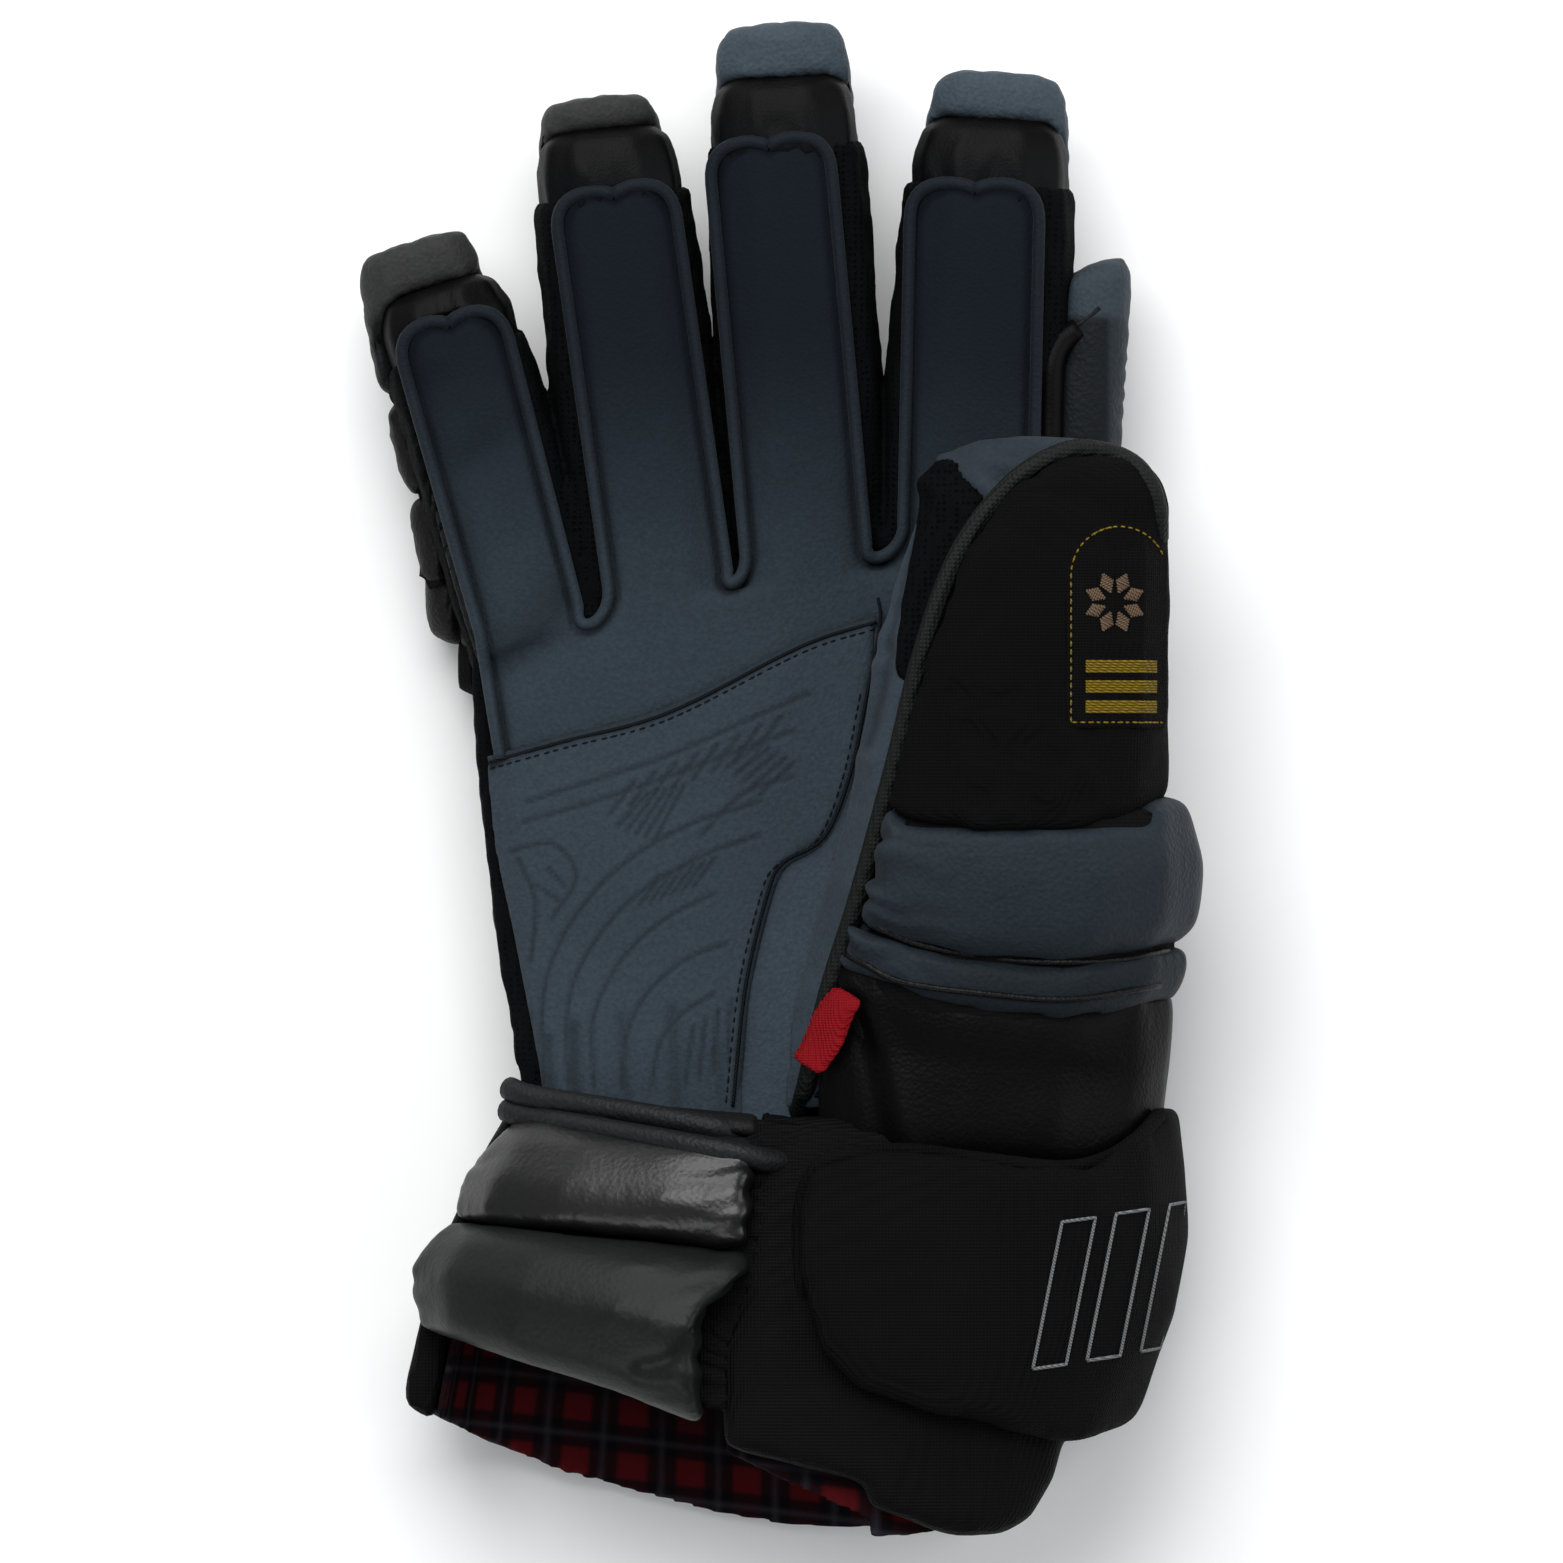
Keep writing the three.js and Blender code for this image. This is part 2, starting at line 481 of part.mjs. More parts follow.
const GUSSETS = [
  { name: "gusset_little_side", outline: [little[1], [-FAR, 200], [-FAR, -FAR], [-30, -FAR], little[0]] },
  { name: "gusset_little_ring", outline: [little[0], little[1], ring[1], ring[0]] },
  { name: "gusset_ring_middle", outline: [ring[0], ring[1], middle[1], middle[0]] },
  { name: "gusset_middle_index", outline: [middle[0], middle[1], index[1], index[0]] },
  { name: "gusset_index_side", outline: [index[0], index[1], [FAR, 200], [FAR, -20], [50, -20]] },
];
const cappedWalls = FINGERS.reduce((rest, finger) => rest.subtract(capRegion(finger, GAP)), walls);
GUSSETS.forEach(({ name, outline }) => {
  addPiece(name, cappedWalls.intersect(prism(outline)), COLOURS.black, 0.8);
});

// Thumb: leather on the palm side and over the tip, a mesh gusset in it, and a black outer side.
const leatherRegion = (grow) =>
  loft(
    THUMB_LEATHER.map(({ y, top, side }) => {
      const [upper, lower] = [top + grow, side + grow];
      const outer = [[upper, FAR], [upper, 70 + grow], [lower, 66 + grow], [lower, -20]];
      return [[-60, FAR], ...outer, [-60, -20]].map(([x, z]) => new THREE.Vector3(x, y, z));
    }),
  );
const meshRegion = (grow) => prism(grownOutline(THUMB_MESH, grow), 64 - grow);
const thumbLeather = thumbSkin.intersect(leatherRegion(0));
addPiece("thumb_leather", thumbLeather.subtract(meshRegion(GAP)), COLOURS.slate, 0.7);
addPiece("thumb_gusset", thumbLeather.intersect(meshRegion(0)), COLOURS.black, 0.85);
addPiece("thumb_side", thumbSkin.subtract(leatherRegion(GAP)), COLOURS.black, 0.8);

// Height of the thumb tube's top, grown, at a place in plan.
function thumbTop(x, y, grow = 0) {
  const row = rowAt(THUMB, y);
  const across = Math.min(Math.abs((2 * x - row.left - row.right) / (row.right - row.left + 2 * grow)), 1);
  const rise = (1 - across ** THUMB_POWER) ** (1 / THUMB_POWER);
  return lerp(row.low - grow, row.high + grow, (1 + rise) / 2);
}
// Height of the shell's lower edge at y.
function shellEdge(y) {
  const next = Math.max(SHELL_EDGE.findIndex(([at]) => at > y), 1);
  const [[y0, z0], [y1, z1]] = [SHELL_EDGE[next - 1], SHELL_EDGE[next]];
  return lerp(z0, z1, (y - y0) / (y1 - y0));
}

// Piping: along the plan line on top of the thumb, round its tip and down its outer side.
const pipingPath = [
  ...THUMB_PIPING.map(([x, y]) => new THREE.Vector3(x, y, thumbTop(x, Math.min(y, 72)) + PIPING * 0.7)),
  new THREE.Vector3(82.5, 72, 69),
  ...[62, 44, 20, -3].map((y) => {
    const x = rowAt(THUMB, y).right + PIPING * 0.6;
    return new THREE.Vector3(x, y, shellEdge(y) - PIPING - 0.8);
  }),
];
const piping = (grow) => cord(pipingPath, PIPING + grow, 6, 26);
addPiece("thumb_binding", piping(0).subtract(softHandGrown), COLOURS.black, 0.6);

// What lies on the thumb's side of the piping line; inset moves its edge off the line.
const insidePiping = (inset) => {
  const line = shifted(THUMB_PIPING, inset, 0);
  return prism([[line[0][0], -FAR], ...line, [80, 74.5], [86, 70], [100, 50], [FAR, 50], [FAR, -FAR]]);
};
const clearOfPiping = (solid) => solid.subtract(piping(GAP)).subtract(softHandGrown);

// The padded shell on the thumb's back, with its patch.
const shellSolid = (grow) => tube(THUMB, THUMB_COUNT, THUMB_POWER, THUMB_PAD + grow);
const shellRegion = (along) =>
  sideProfile([[-4, FAR], [-4, shellEdge(-4)], ...SHELL_EDGE.slice(1), [90, FAR]], { along });
const shell = shellSolid(0).intersect(insidePiping(0)).intersect(shellRegion(0));
addPiece("thumb_shell", clearOfPiping(shell), COLOURS.black, 0.85);
const { x: patchX, yLow: patchLow, yHigh: patchHigh, half: patchHalf, thick: patchThick } = THUMB_PATCH;
const arch = new THREE.Shape()
  .moveTo(patchX - patchHalf, patchLow)
  .lineTo(patchX + patchHalf, patchLow)
  .lineTo(patchX + patchHalf, patchHigh - patchHalf)
  .absarc(patchX, patchHigh - patchHalf, patchHalf, 0, Math.PI, false);
const patch = shellSolid(GAP + patchThick).subtract(shellSolid(GAP)).intersect(pulledUp(arch, 72, FAR, 6));
addPiece("thumb_patch", patch, COLOURS.black, 0.8);

// Roll, band and panel that wrap the thumb's base.
const thumbWrap = (profile) => wrapRoll(THUMB, profile, THUMB_COUNT, THUMB_POWER, 0.5);
const wrapRegion = (inset) => insidePiping(inset).intersect(box(-20, FAR, -FAR, 60, WRAP_FLOOR, FAR));
const wrapped = (profile, inset) => clearOfPiping(thumbWrap(profile).intersect(wrapRegion(inset)));
addPiece("thumb_roll", wrapped(THUMB_ROLL, 4.5).subtract(shellRegion(-GAP)), COLOURS.slate, 0.6);
addPiece("thumb_band", wrapped(THUMB_BAND, 3), COLOURS.slate, 0.6);
addPiece("thumb_base_panel", wrapped(THUMB_BASE_PANEL, 1), COLOURS.black, 0.5);

// The red tag: a strip that rises from the leather, over the piping, on to the base panel.
const tagCorner = (from, to, { share, lift, grow }, thick) => {
  const [x, y] = [lerp(from[0], to[0], share), lerp(from[1], to[1], share)];
  return new THREE.Vector3(x, y, Math.max(thumbTop(x, y, grow), 51.8) + lift + thick);
};
const tagRings = TAG_STATIONS.map((station) => [
  tagCorner(SEAM_TAG.palmTop, SEAM_TAG.backTop, station, 0),
  tagCorner(SEAM_TAG.palmTop, SEAM_TAG.backTop, station, SEAM_TAG.thick),
  tagCorner(SEAM_TAG.palmLow, SEAM_TAG.backLow, station, SEAM_TAG.thick),
  tagCorner(SEAM_TAG.palmLow, SEAM_TAG.backLow, station, 0),
]);
const thicker = (profile) => profile.map((ring) => ({ ...ring, side: ring.side + GAP, up: ring.up + GAP }));
const underTag = thumbWrap(thicker(THUMB_BAND)).add(thumbWrap(thicker(THUMB_BASE_PANEL)));
addPiece("seam_tag", clearOfPiping(loft(tagRings).subtract(underTag)), COLOURS.red, 0.6);

// Cuff: padded back, thumb side with its felt-faced pad, lining, and the palm side's binding and two rolls.
const cuffTube = (grow, start = 0) => tube(CUFF, CUFF_COUNT, CUFF_POWER, grow, start);
const cuffInner = (grow) => tube(CUFF, CUFF_COUNT, CUFF_POWER, (row) => grow - row.wall, 1, 4);
const withinRim = (lift) => {
  const line = shifted(CUFF_RIM, 0, lift);
  return prism([...line, [FAR, line.at(-1)[1]], [FAR, FAR], [-FAR, FAR], [-FAR, line[0][1]]]);
};
const thumbHalf = (aside) => prism([...shifted(CUFF_SLIT, aside, 0), [FAR, -220], [FAR, -60]]);
const lowerHalf = box(-FAR, FAR, -FAR, 0, 0, CUFF_SPLIT);
const upperHalf = box(-FAR, FAR, -FAR, 0, CUFF_SPLIT + GAP, FAR);
const cuffWall = cuffTube(0).subtract(cuffInner(0)).intersect(withinRim(0)).subtract(softHandGrown);
addPiece("cuff_back", cuffWall.intersect(lowerHalf), COLOURS.black, 0.7);
addPiece("cuff_side", cuffWall.intersect(upperHalf).intersect(thumbHalf(0)), COLOURS.black, 0.8);

const liningRows = [...LINING_TOP, ...CUFF.slice(1)];
const liningTube = (grow, past) =>
  tube(liningRows, CUFF_COUNT, CUFF_POWER, (row) => -GAP - row.wall - grow, past, past);
const liningRegion = union([thumbHalf(0), box(-FAR, 0, LINING_PALM_END, 0, 0, FAR), lowerHalf]);
const lining = liningTube(0, 0).subtract(liningTube(LINING, 3));
addPiece("cuff_lining", lining.intersect(withinRim(1.5)).intersect(liningRegion), COLOURS.plaid, 0.9);

const cuffWrap = (profile) => {
  const roll = wrapRoll(CUFF, profile, CUFF_COUNT, CUFF_POWER, 0).subtract(cuffInner(GAP));
  return roll.intersect(upperHalf).subtract(thumbHalf(-GAP));
};
addPiece("wrist_binding", cuffWrap(WRIST_BINDING).subtract(softHandGrown), COLOURS.black, 0.7);
addPiece("wrist_roll_upper", cuffWrap(WRIST_ROLL_UPPER), COLOURS.capBlack, 0.3);
addPiece("wrist_roll_lower", cuffWrap(WRIST_ROLL_LOWER), COLOURS.capBlack, 0.3);

const padRows = CUFF.map((row) => ({ ...row, high: row.high + 3 }));
const sidePad = tube(padRows, CUFF_COUNT, CUFF_POWER, 5.4, 9).subtract(cuffTube(GAP, 9));
addPiece("cuff_side_pad", sidePad.intersect(prism(SIDE_PAD, 24)).subtract(softHandGrown), COLOURS.black, 0.9);

// Rolls across the hand's back, nested on the fabric over them and flat where the glove rests.
const seated = (solid) => solid.subtract(softHandGrown).intersect(box(-FAR, FAR, -FAR, FAR, 0, FAR));
const backRoll = ({ y, thick, ends, top }, grow = 0) =>
  loft(
    ROLL_SHAPE.map(({ share, wide, deep }) => {
      const half = ((lerp(...thick, share) + grow) * wide) / 2;
      const x = lerp(...ends, share);
      return roundRing(10, 3, (across, up) => {
        const z = Math.max(lerp(-4, top, (1 + up * deep) / 2), -3);
        return new THREE.Vector3(x, lerp(...y, share) + across * half, z);
      });
    }),
  );
BACK_ROLLS.forEach((roll) => addPiece(roll.name, seated(backRoll(roll)), COLOURS.black, 0.6));
const rollsGrown = union(BACK_ROLLS.map((roll) => backRoll(roll, 1.2)));

// Pads on the fingers' backs; the outer one turns up over the fingertip.
function fingerPad(finger, padding, { from, to, shape }) {
  const { at, middle: middleAt, half, deep, length } = fingerFrame(finger);
  const isTip = shape === TIP_PAD_SHAPE;
  const end = to + (isTip ? padding.reach / length : 0);
  return loft(
    shape.map(({ start, back, wide, drop }) => {
      const share = start === undefined ? end - back : from + start;
      const low = middleAt(share) - deep(Math.min(share, 1)) - FINGER_PAD * drop;
      const high = middleAt(share) + (isTip ? TIP_PAD_REACH * deep(1) : -1);
      const tapered = lerp(half(from) - 1, padding.tipHalf, (share - from) / (end - from));
      const across = (isTip ? tapered : half(share) - 1) * wide;
      const shift = lerp(padding.baseShift, padding.shift, share);
      return roundRing(8, PAD_POWER, (x, z) => at(share, shift + x * across, lerp(low, high, (z + 1) / 2)));
    }),
  );
}
// The plan wedge that a finger's pads keep to: half-way to the finger on each side.
const borders = [[[-FAR, -20], [-FAR, 200]], ...spines, [[FAR, -20], [FAR, 200]]];
function padWedge(i) {
  const halfWay = (from, end) => {
    const [[x0, y0], [x1, y1]] = [borders[from][end], borders[from + 1][end]];
    return [(x0 + x1) / 2, (y0 + y1) / 2];
  };
  const left = shifted(i === 0 ? borders[0] : [halfWay(i, 0), halfWay(i, 1)], GAP, 0);
  const right = shifted(i === 3 ? borders[5] : [halfWay(i + 1, 0), halfWay(i + 1, 1)], -GAP, 0);
  return prism([left[0], left[1], right[1], right[0]], -10);
}
FINGERS.forEach((finger, i) => {
  FINGER_PADS.forEach((pad) => {
    const colour = pad.name === "tip" && i > 1 ? COLOURS.slate : COLOURS.black;
    const solid = seated(fingerPad(finger, PADDING[i], pad)).intersect(padWedge(i)).subtract(rollsGrown);
    addPiece(`pad_${finger.name}_${pad.name}`, solid, colour, 0.6);
  });
});

// The roll on the index finger's outer side, its end higher at the outer edge.
const sideRoll = loft(
  INDEX_SIDE_SHAPE.map(({ share, wide }) => {
    const x = INDEX_SIDE.middle - INDEX_SIDE.tilt * (1 - share);
    const y = lerp(INDEX_SIDE.yLow, INDEX_SIDE.yHigh, share);
    const slope = share > 0.5 ? INDEX_SIDE.slope : 0;
    return roundRing(8, 4.5, (across, up) => {
      const aside = across * INDEX_SIDE.half;
      const z = lerp(INDEX_SIDE.low, INDEX_SIDE.high, (1 + up * wide) / 2);
      return new THREE.Vector3(x + aside * wide, y + aside * slope, z);
    });
  }),
);
const widerIndex = { ...FINGERS[3], baseHalf: FINGERS[3].baseHalf + 1, tipHalf: FINGERS[3].tipHalf + 1 };
const indexPadsGrown = union(FINGER_PADS.map((pad) => fingerPad(widerIndex, PADDING[3], pad)));
addPiece("index_side_roll", seated(sideRoll).subtract(rollsGrown).subtract(indexPadsGrown), COLOURS.slate, 0.6);

// The glove is centred over its origin.
const whole = new THREE.Box3().setFromObject(glove);
const centre = whole.getCenter(new THREE.Vector3());
glove.position.set(-centre.x, -centre.y, -whole.min.z);

export default glove;
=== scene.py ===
# Looks of a right-hand ice hockey glove that lies on its padded back, palm up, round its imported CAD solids.
# Metres, +Z up, fingers along +Y, thumb on +X.
import math

import bmesh
import bpy
import numpy as np
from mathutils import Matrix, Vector, noise
from mathutils.bvhtree import BVHTree


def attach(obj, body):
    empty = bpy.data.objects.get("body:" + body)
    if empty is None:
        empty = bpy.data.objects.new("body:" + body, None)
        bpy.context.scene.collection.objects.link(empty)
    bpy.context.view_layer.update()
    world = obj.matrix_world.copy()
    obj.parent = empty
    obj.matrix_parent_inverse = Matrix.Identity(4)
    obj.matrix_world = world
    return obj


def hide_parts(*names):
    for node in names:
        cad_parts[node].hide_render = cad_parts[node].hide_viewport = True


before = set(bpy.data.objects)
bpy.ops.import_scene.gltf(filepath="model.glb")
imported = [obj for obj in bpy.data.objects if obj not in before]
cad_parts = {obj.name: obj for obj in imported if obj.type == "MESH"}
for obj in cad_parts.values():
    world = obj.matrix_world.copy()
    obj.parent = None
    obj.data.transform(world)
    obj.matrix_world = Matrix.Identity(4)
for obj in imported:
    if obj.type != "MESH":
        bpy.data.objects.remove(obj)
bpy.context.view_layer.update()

# Palm leather. One sheet of brushed synthetic leather over the palm and the four finger panels, a second
# layer stitched over its heel, a strip beside the thumb and a wrap over the thumb's tip. It is a thin, soft
# sheet with a felted face, so it looks matt and shows broad soft creases.
MM = 0.001
OFFSET = (1.21, -0.557)  # from the outlines' own origin to the frame's, in millimetres


def spot(x, y, z=0.0):
    return Vector((x + OFFSET[0], y + OFFSET[1], z)) * MM


def tinted(sheet):
    """An sRGB hex colour as linear RGBA."""
    parts = [int(sheet[i : i + 2], 16) / 255 for i in (1, 3, 5)]
    return [p / 12.92 if p <= 0.04045 else ((p + 0.055) / 1.055) ** 2.4 for p in parts] + [1.0]


def finish_of(name):
    material = bpy.data.materials.new(name)
    material.use_nodes = True
    tree = material.node_tree
    tree.nodes.clear()
    return material, tree


def add(tree, kind, settings=None, links=None):
    node = tree.nodes.new(kind)
    for key, value in (settings or {}).items():
        if isinstance(key, str) and hasattr(node, key):
            setattr(node, key, value)
        else:
            node.inputs[key].default_value = value
    for key, source in (links or {}).items():
        tree.links.new(source, node.inputs[key])
    return node


def surfaced(tree, colour, height, bump, depth, rough, level, **more):
    """The shader over a relief of that strength and depth in metres. Rough is a number or a node's output."""
    relief = add(tree, "ShaderNodeBump", {"Strength": bump, "Distance": depth}, {"Height": height})
    settings = {"Specular IOR Level": level, **more}
    links = {"Base Color": colour, "Normal": relief.outputs["Normal"]}
    (settings if isinstance(rough, float) else links)["Roughness"] = rough
    body = add(tree, "ShaderNodeBsdfPrincipled", settings, links)
    add(tree, "ShaderNodeOutputMaterial", links={"Surface": body.outputs["BSDF"]})


def leather_finish(name, colour, deep, rough, grain, sheen, bump=0.25, fade=0.0, level=0.15):
    """Leather: a broad drift of tone, painted shade in its creases, and a pebbled grain of the given size in
    mm.
    """
    material, tree = finish_of(name)
    place = add(tree, "ShaderNodeTexCoord").outputs["Object"]
    drift = add(tree, "ShaderNodeTexNoise", {"Scale": 28.0, "Detail": 3.0}, {"Vector": place})
    fine = add(tree, "ShaderNodeTexNoise", {"Scale": 900.0, "Detail": 2.0}, {"Vector": place})
    cells = add(tree, "ShaderNodeTexVoronoi", {"Scale": 1000.0 / grain}, {"Vector": place})
    shade = add(tree, "ShaderNodeAttribute", {"attribute_name": "shade"})
    spread = add(tree, "ShaderNodeMapRange",
                 {"From Min": 0.3, "From Max": 0.7, "To Min": 0.25, "To Max": 0.75},
                 {"Value": drift.outputs["Fac"]})
    tone = add(tree, "ShaderNodeMix", {"data_type": "RGBA", 6: tinted(deep), 7: tinted(colour)},
               {0: spread.outputs["Result"]})
    fleck = add(tree, "ShaderNodeMapRange",
                {"From Min": 0.35, "From Max": 0.65, "To Min": 0.9, "To Max": 1.1},
                {"Value": fine.outputs["Fac"]})
    flecked = add(tree, "ShaderNodeMix", {"data_type": "RGBA", "blend_type": "MULTIPLY", 0: 1.0},
                  {6: tone.outputs[2], 7: fleck.outputs["Result"]})
    # Painted shade: the colour goes dark where the 'shade' attribute asks, in creases, grooves and seams.
    dimmed = add(tree, "ShaderNodeMix", {"data_type": "RGBA", 7: tinted("#07090b")},
                 {0: shade.outputs["Fac"], 6: flecked.outputs[2]})
    skin = dimmed.outputs[2]
    # Painted shade: if asked, the colour darkens towards the fingertips, along +Y of the object's own frame.
    if fade:
        height = add(tree, "ShaderNodeSeparateXYZ", links={"Vector": place})
        away = add(tree, "ShaderNodeMapRange",
                   {"From Min": 0.02, "From Max": 0.11, "To Min": 0.0, "To Max": fade,
                    "interpolation_type": "SMOOTHSTEP"}, {"Value": height.outputs["Y"]})
        skin = add(tree, "ShaderNodeMix", {"data_type": "RGBA", 7: tinted("#0b1017")},
                   {0: away.outputs["Result"], 6: skin}).outputs[2]
    grit = add(tree, "ShaderNodeMath", {"operation": "ADD"},
               {0: cells.outputs["Distance"], 1: fine.outputs["Fac"]})
    patchy = add(tree, "ShaderNodeMapRange",
               {"From Min": 0.3, "From Max": 0.7, "To Min": rough - 0.06, "To Max": rough + 0.06},
               {"Value": drift.outputs["Fac"]})
    surfaced(tree, skin, grit.outputs[0], bump, 0.0006, patchy.outputs["Result"], level,
             **{"Sheen Weight": sheen, "Sheen Roughness": 0.5})
    return material


palm_leather = leather_finish("brushed_synthetic_leather", "#2f383f", "#273037", 0.8, 0.9, 0.03,
                              fade=0.93, level=0.06)
heel_leather = leather_finish("pressed_synthetic_leather", "#333c44", "#2b343b", 0.8, 0.9, 0.03, level=0.06)
thenar_leather = leather_finish("napped_synthetic_leather", "#39434c", "#313a42", 0.8, 0.9, 0.03, level=0.06)


def made(form, name):
    """The bmesh as a piece of that name in the scene."""
    data = bpy.data.meshes.new(name)
    form.to_mesh(data)
    form.free()
    piece = bpy.data.objects.new(name, data)
    bpy.context.scene.collection.objects.link(piece)
    return piece


def merged_copy(node, name):
    """The CAD node's solid as a closed mesh of its own."""
    form = bmesh.new()
    form.from_mesh(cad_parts[node].data)
    bmesh.ops.remove_doubles(form, verts=form.verts, dist=0.00002)
    return made(form, name)


def settle(piece):
    """The modifiers become the mesh."""
    seen = piece.evaluated_get(bpy.context.evaluated_depsgraph_get())
    data = bpy.data.meshes.new_from_object(seen)
    piece.modifiers.clear()
    old = piece.data
    piece.data = data
    bpy.data.meshes.remove(old)
    data.name = piece.name
    return piece


def remeshed(piece, voxel, rounds, factor=0.5):
    remesh = piece.modifiers.new("remesh", "REMESH")
    remesh.mode, remesh.voxel_size, remesh.use_smooth_shade = "VOXEL", voxel * MM, True
    if rounds:
        ease = piece.modifiers.new("ease", "SMOOTH")
        ease.factor, ease.iterations = factor, rounds
    return settle(piece)


def points_of(piece, layer="co"):
    values = np.empty(len(piece.data.vertices) * 3, np.float32)
    piece.data.vertices.foreach_get(layer, values)
    return values.reshape(-1, 3).astype(float)


def normals_of(piece):
    return points_of(piece, "normal")


def put_points(piece, co):
    piece.data.vertices.foreach_set("co", co.astype(np.float32).ravel())
    piece.data.update()


def raised(piece, push):
    """The surface moved out along its normals by push, in mm."""
    put_points(piece, points_of(piece) + normals_of(piece) * np.reshape(push, (-1, 1)) * MM)


def plan_of(co):
    """Each point's place in the outlines' own frame, in mm."""
    return co / MM - np.array([*OFFSET, 0.0])


def eased(values, low, high):
    """0 at low and 1 at high, smooth between them."""
    t = np.clip((values - low) / (high - low), 0, 1)
    return t * t * (3 - 2 * t)


def bell(away, reach):
    """1 where away is 0, fading out over reach."""
    return np.exp(-((away / reach) ** 2))


def shade_of(piece, values):
    """How far each point's colour goes to dark, from 0 to 1: mostly painted shade in creases, folds and
    seams.
    """
    held = piece.data.attributes.get("shade") or piece.data.attributes.new("shade", "FLOAT", "POINT")
    held.data.foreach_set("value", np.clip(values, 0, 1).astype(np.float32))


def worn_as(piece, material, slot, *nodes):
    piece.data.materials.clear()
    piece.data.materials.append(material)
    for face in piece.data.polygons:
        face.use_smooth = True
    if "shade" not in piece.data.attributes:
        shade_of(piece, np.zeros(len(piece.data.vertices)))
    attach(piece, "root")
    if nodes:
        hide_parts(*nodes)
    return piece


def rough_field(co, size, seed):
    """Smooth noise at points in metres, with features of the given size in mm."""
    at = co / (size * MM) + seed
    return np.array([noise.noise(p) for p in at.tolist()])


def from_line(co, line):
    """Each point's distance to a polyline seen from above, and how far along it that place is, in mm."""
    used, path = co[:, :2], np.array([p[:2] for p in line], float)
    best = np.full(len(co), 1e9)
    along = np.zeros(len(co))
    run = 0.0
    for a, b in zip(path[:-1], path[1:]):
        reach = b - a
        length = np.linalg.norm(reach)
        t = np.clip((used - a) @ reach / max(length * length, 1e-12), 0, 1)
        away = np.linalg.norm(used - a - t[:, None] * reach, axis=1)
        nearer = away < best
        best[nearer] = away[nearer]
        along[nearer] = run + t[nearer] * length
        run += length
    return best / MM, along / MM


def line_of(pairs):
    return [spot(*pair) for pair in pairs]


def smooth_line(pairs, step=1.5):
    """A polyline through the given places, curved between them."""
    given = [Vector((*p[:2], p[2] if len(p) > 2 else 0.0)) for p in pairs]
    ends = [2 * given[0] - given[1], *given, 2 * given[-1] - given[-2]]
    out = []
    for a, b, c, d in zip(ends, ends[1:], ends[2:], ends[3:]):
        count = max(1, int((c - b).length / step))
        for i in range(count):
            t = i / count
            out.append(0.5 * (2 * b + (c - a) * t + (2 * a - 5 * b + 4 * c - d) * t * t
                              + (3 * b - a - 3 * c + d) * t ** 3))
    return [spot(*p) for p in [*out, given[-1]]]


HEEL_SEAM = [(-71, 3.5), (-52.8, 8.6), (-35, 13), (-21.8, 18.2), (4.8, 31.7), (22, 37.2)]
THENAR_SEAM = [(22.8, 37), (19.9, 20.9), (15.6, 0.5), (9.4, -14.4), (-0.5, -20.6), (-4.1, -27.8), (-9.4, -50),
               (-12.5, -79)]
# Soft creases in the leather: a line, how deep it is and how far it reaches, in mm.
PALM_CREASES = [
    ([(-77, 74), (-68, 80), (-62, 84)], 0.9, 5.0),
    ([(-74, 52), (-60, 60), (-54, 66)], 0.5, 6.0),
    ([(-76, 22), (-64, 27), (-54, 35), (-50, 42)], 1.3, 4.0),
    ([(-66, 40), (-58, 46), (-52, 52)], 0.8, 9.0),
    ([(-40, 60), (-28, 62), (-16, 60)], 0.3, 6.0),
    ([(-10, 66), (2, 68), (16, 66)], 0.3, 6.0),
    ([(30, 70), (42, 72), (56, 70)], 0.4, 6.0),
    ([(-98, 87), (-91, 91), (-84, 96)], 0.9, 4.0),
    ([(-88, 72), (-80, 74), (-72, 79)], 0.5, 5.0),
]
WRIST_GATHERS = [
    ([(-62, -58), (-60, -84)], 0.9, 1.6),
    ([(-57, -63), (-56, -84)], 0.7, 1.3),
    ([(-51, -60), (-50.5, -84)], 0.8, 1.5),
    ([(-39, -58), (-38, -84)], 0.5, 1.4),
    ([(-27, -56), (-26, -84)], 0.5, 1.6),
    ([(-16, -66), (-15, -84)], 0.4, 1.4),
]


def soft_leather(piece, creases, ripple=0.25):
    """Broad unevenness and creases, pressed into the leather's upper side."""
    co = points_of(piece)
    push = ripple * rough_field(co, 18, 3.1) + 0.5 * ripple * rough_field(co, 7, 9.7)
    for pairs, depth, reach in creases:
        push -= depth * bell(from_line(co, line_of(pairs))[0], reach)
    raised(piece, push * (normals_of(piece)[:, 2] > 0.2))


def widened(piece, reach, low=-66.0):
    """Edges let out sideways to meet their neighbours, and the wrist end run under the binding."""
    co, out = points_of(piece), normals_of(piece)
    side = np.clip(1.3 - 1.3 * np.abs(out[:, 2]), 0, 1)[:, None]
    co[:, :2] += out[:, :2] * side * reach * MM
    co[:, 1] -= 6.0 * (1 - eased(plan_of(co)[:, 1], low - 16, low)) * MM
    put_points(piece, co)


palm_upper = remeshed(merged_copy("palm_upper", "palm_upper_leather"), 1.15, 14)
widened(palm_upper, 1.2)
soft_leather(palm_upper, PALM_CREASES)
palm_thenar = remeshed(merged_copy("palm_thenar", "palm_thenar_leather"), 1.15, 10)
widened(palm_thenar, 1.3)
soft_leather(palm_thenar, [])
palm_heel = remeshed(merged_copy("palm_heel", "palm_heel_leather"), 0.85, 12)
widened(palm_heel, 1.0)
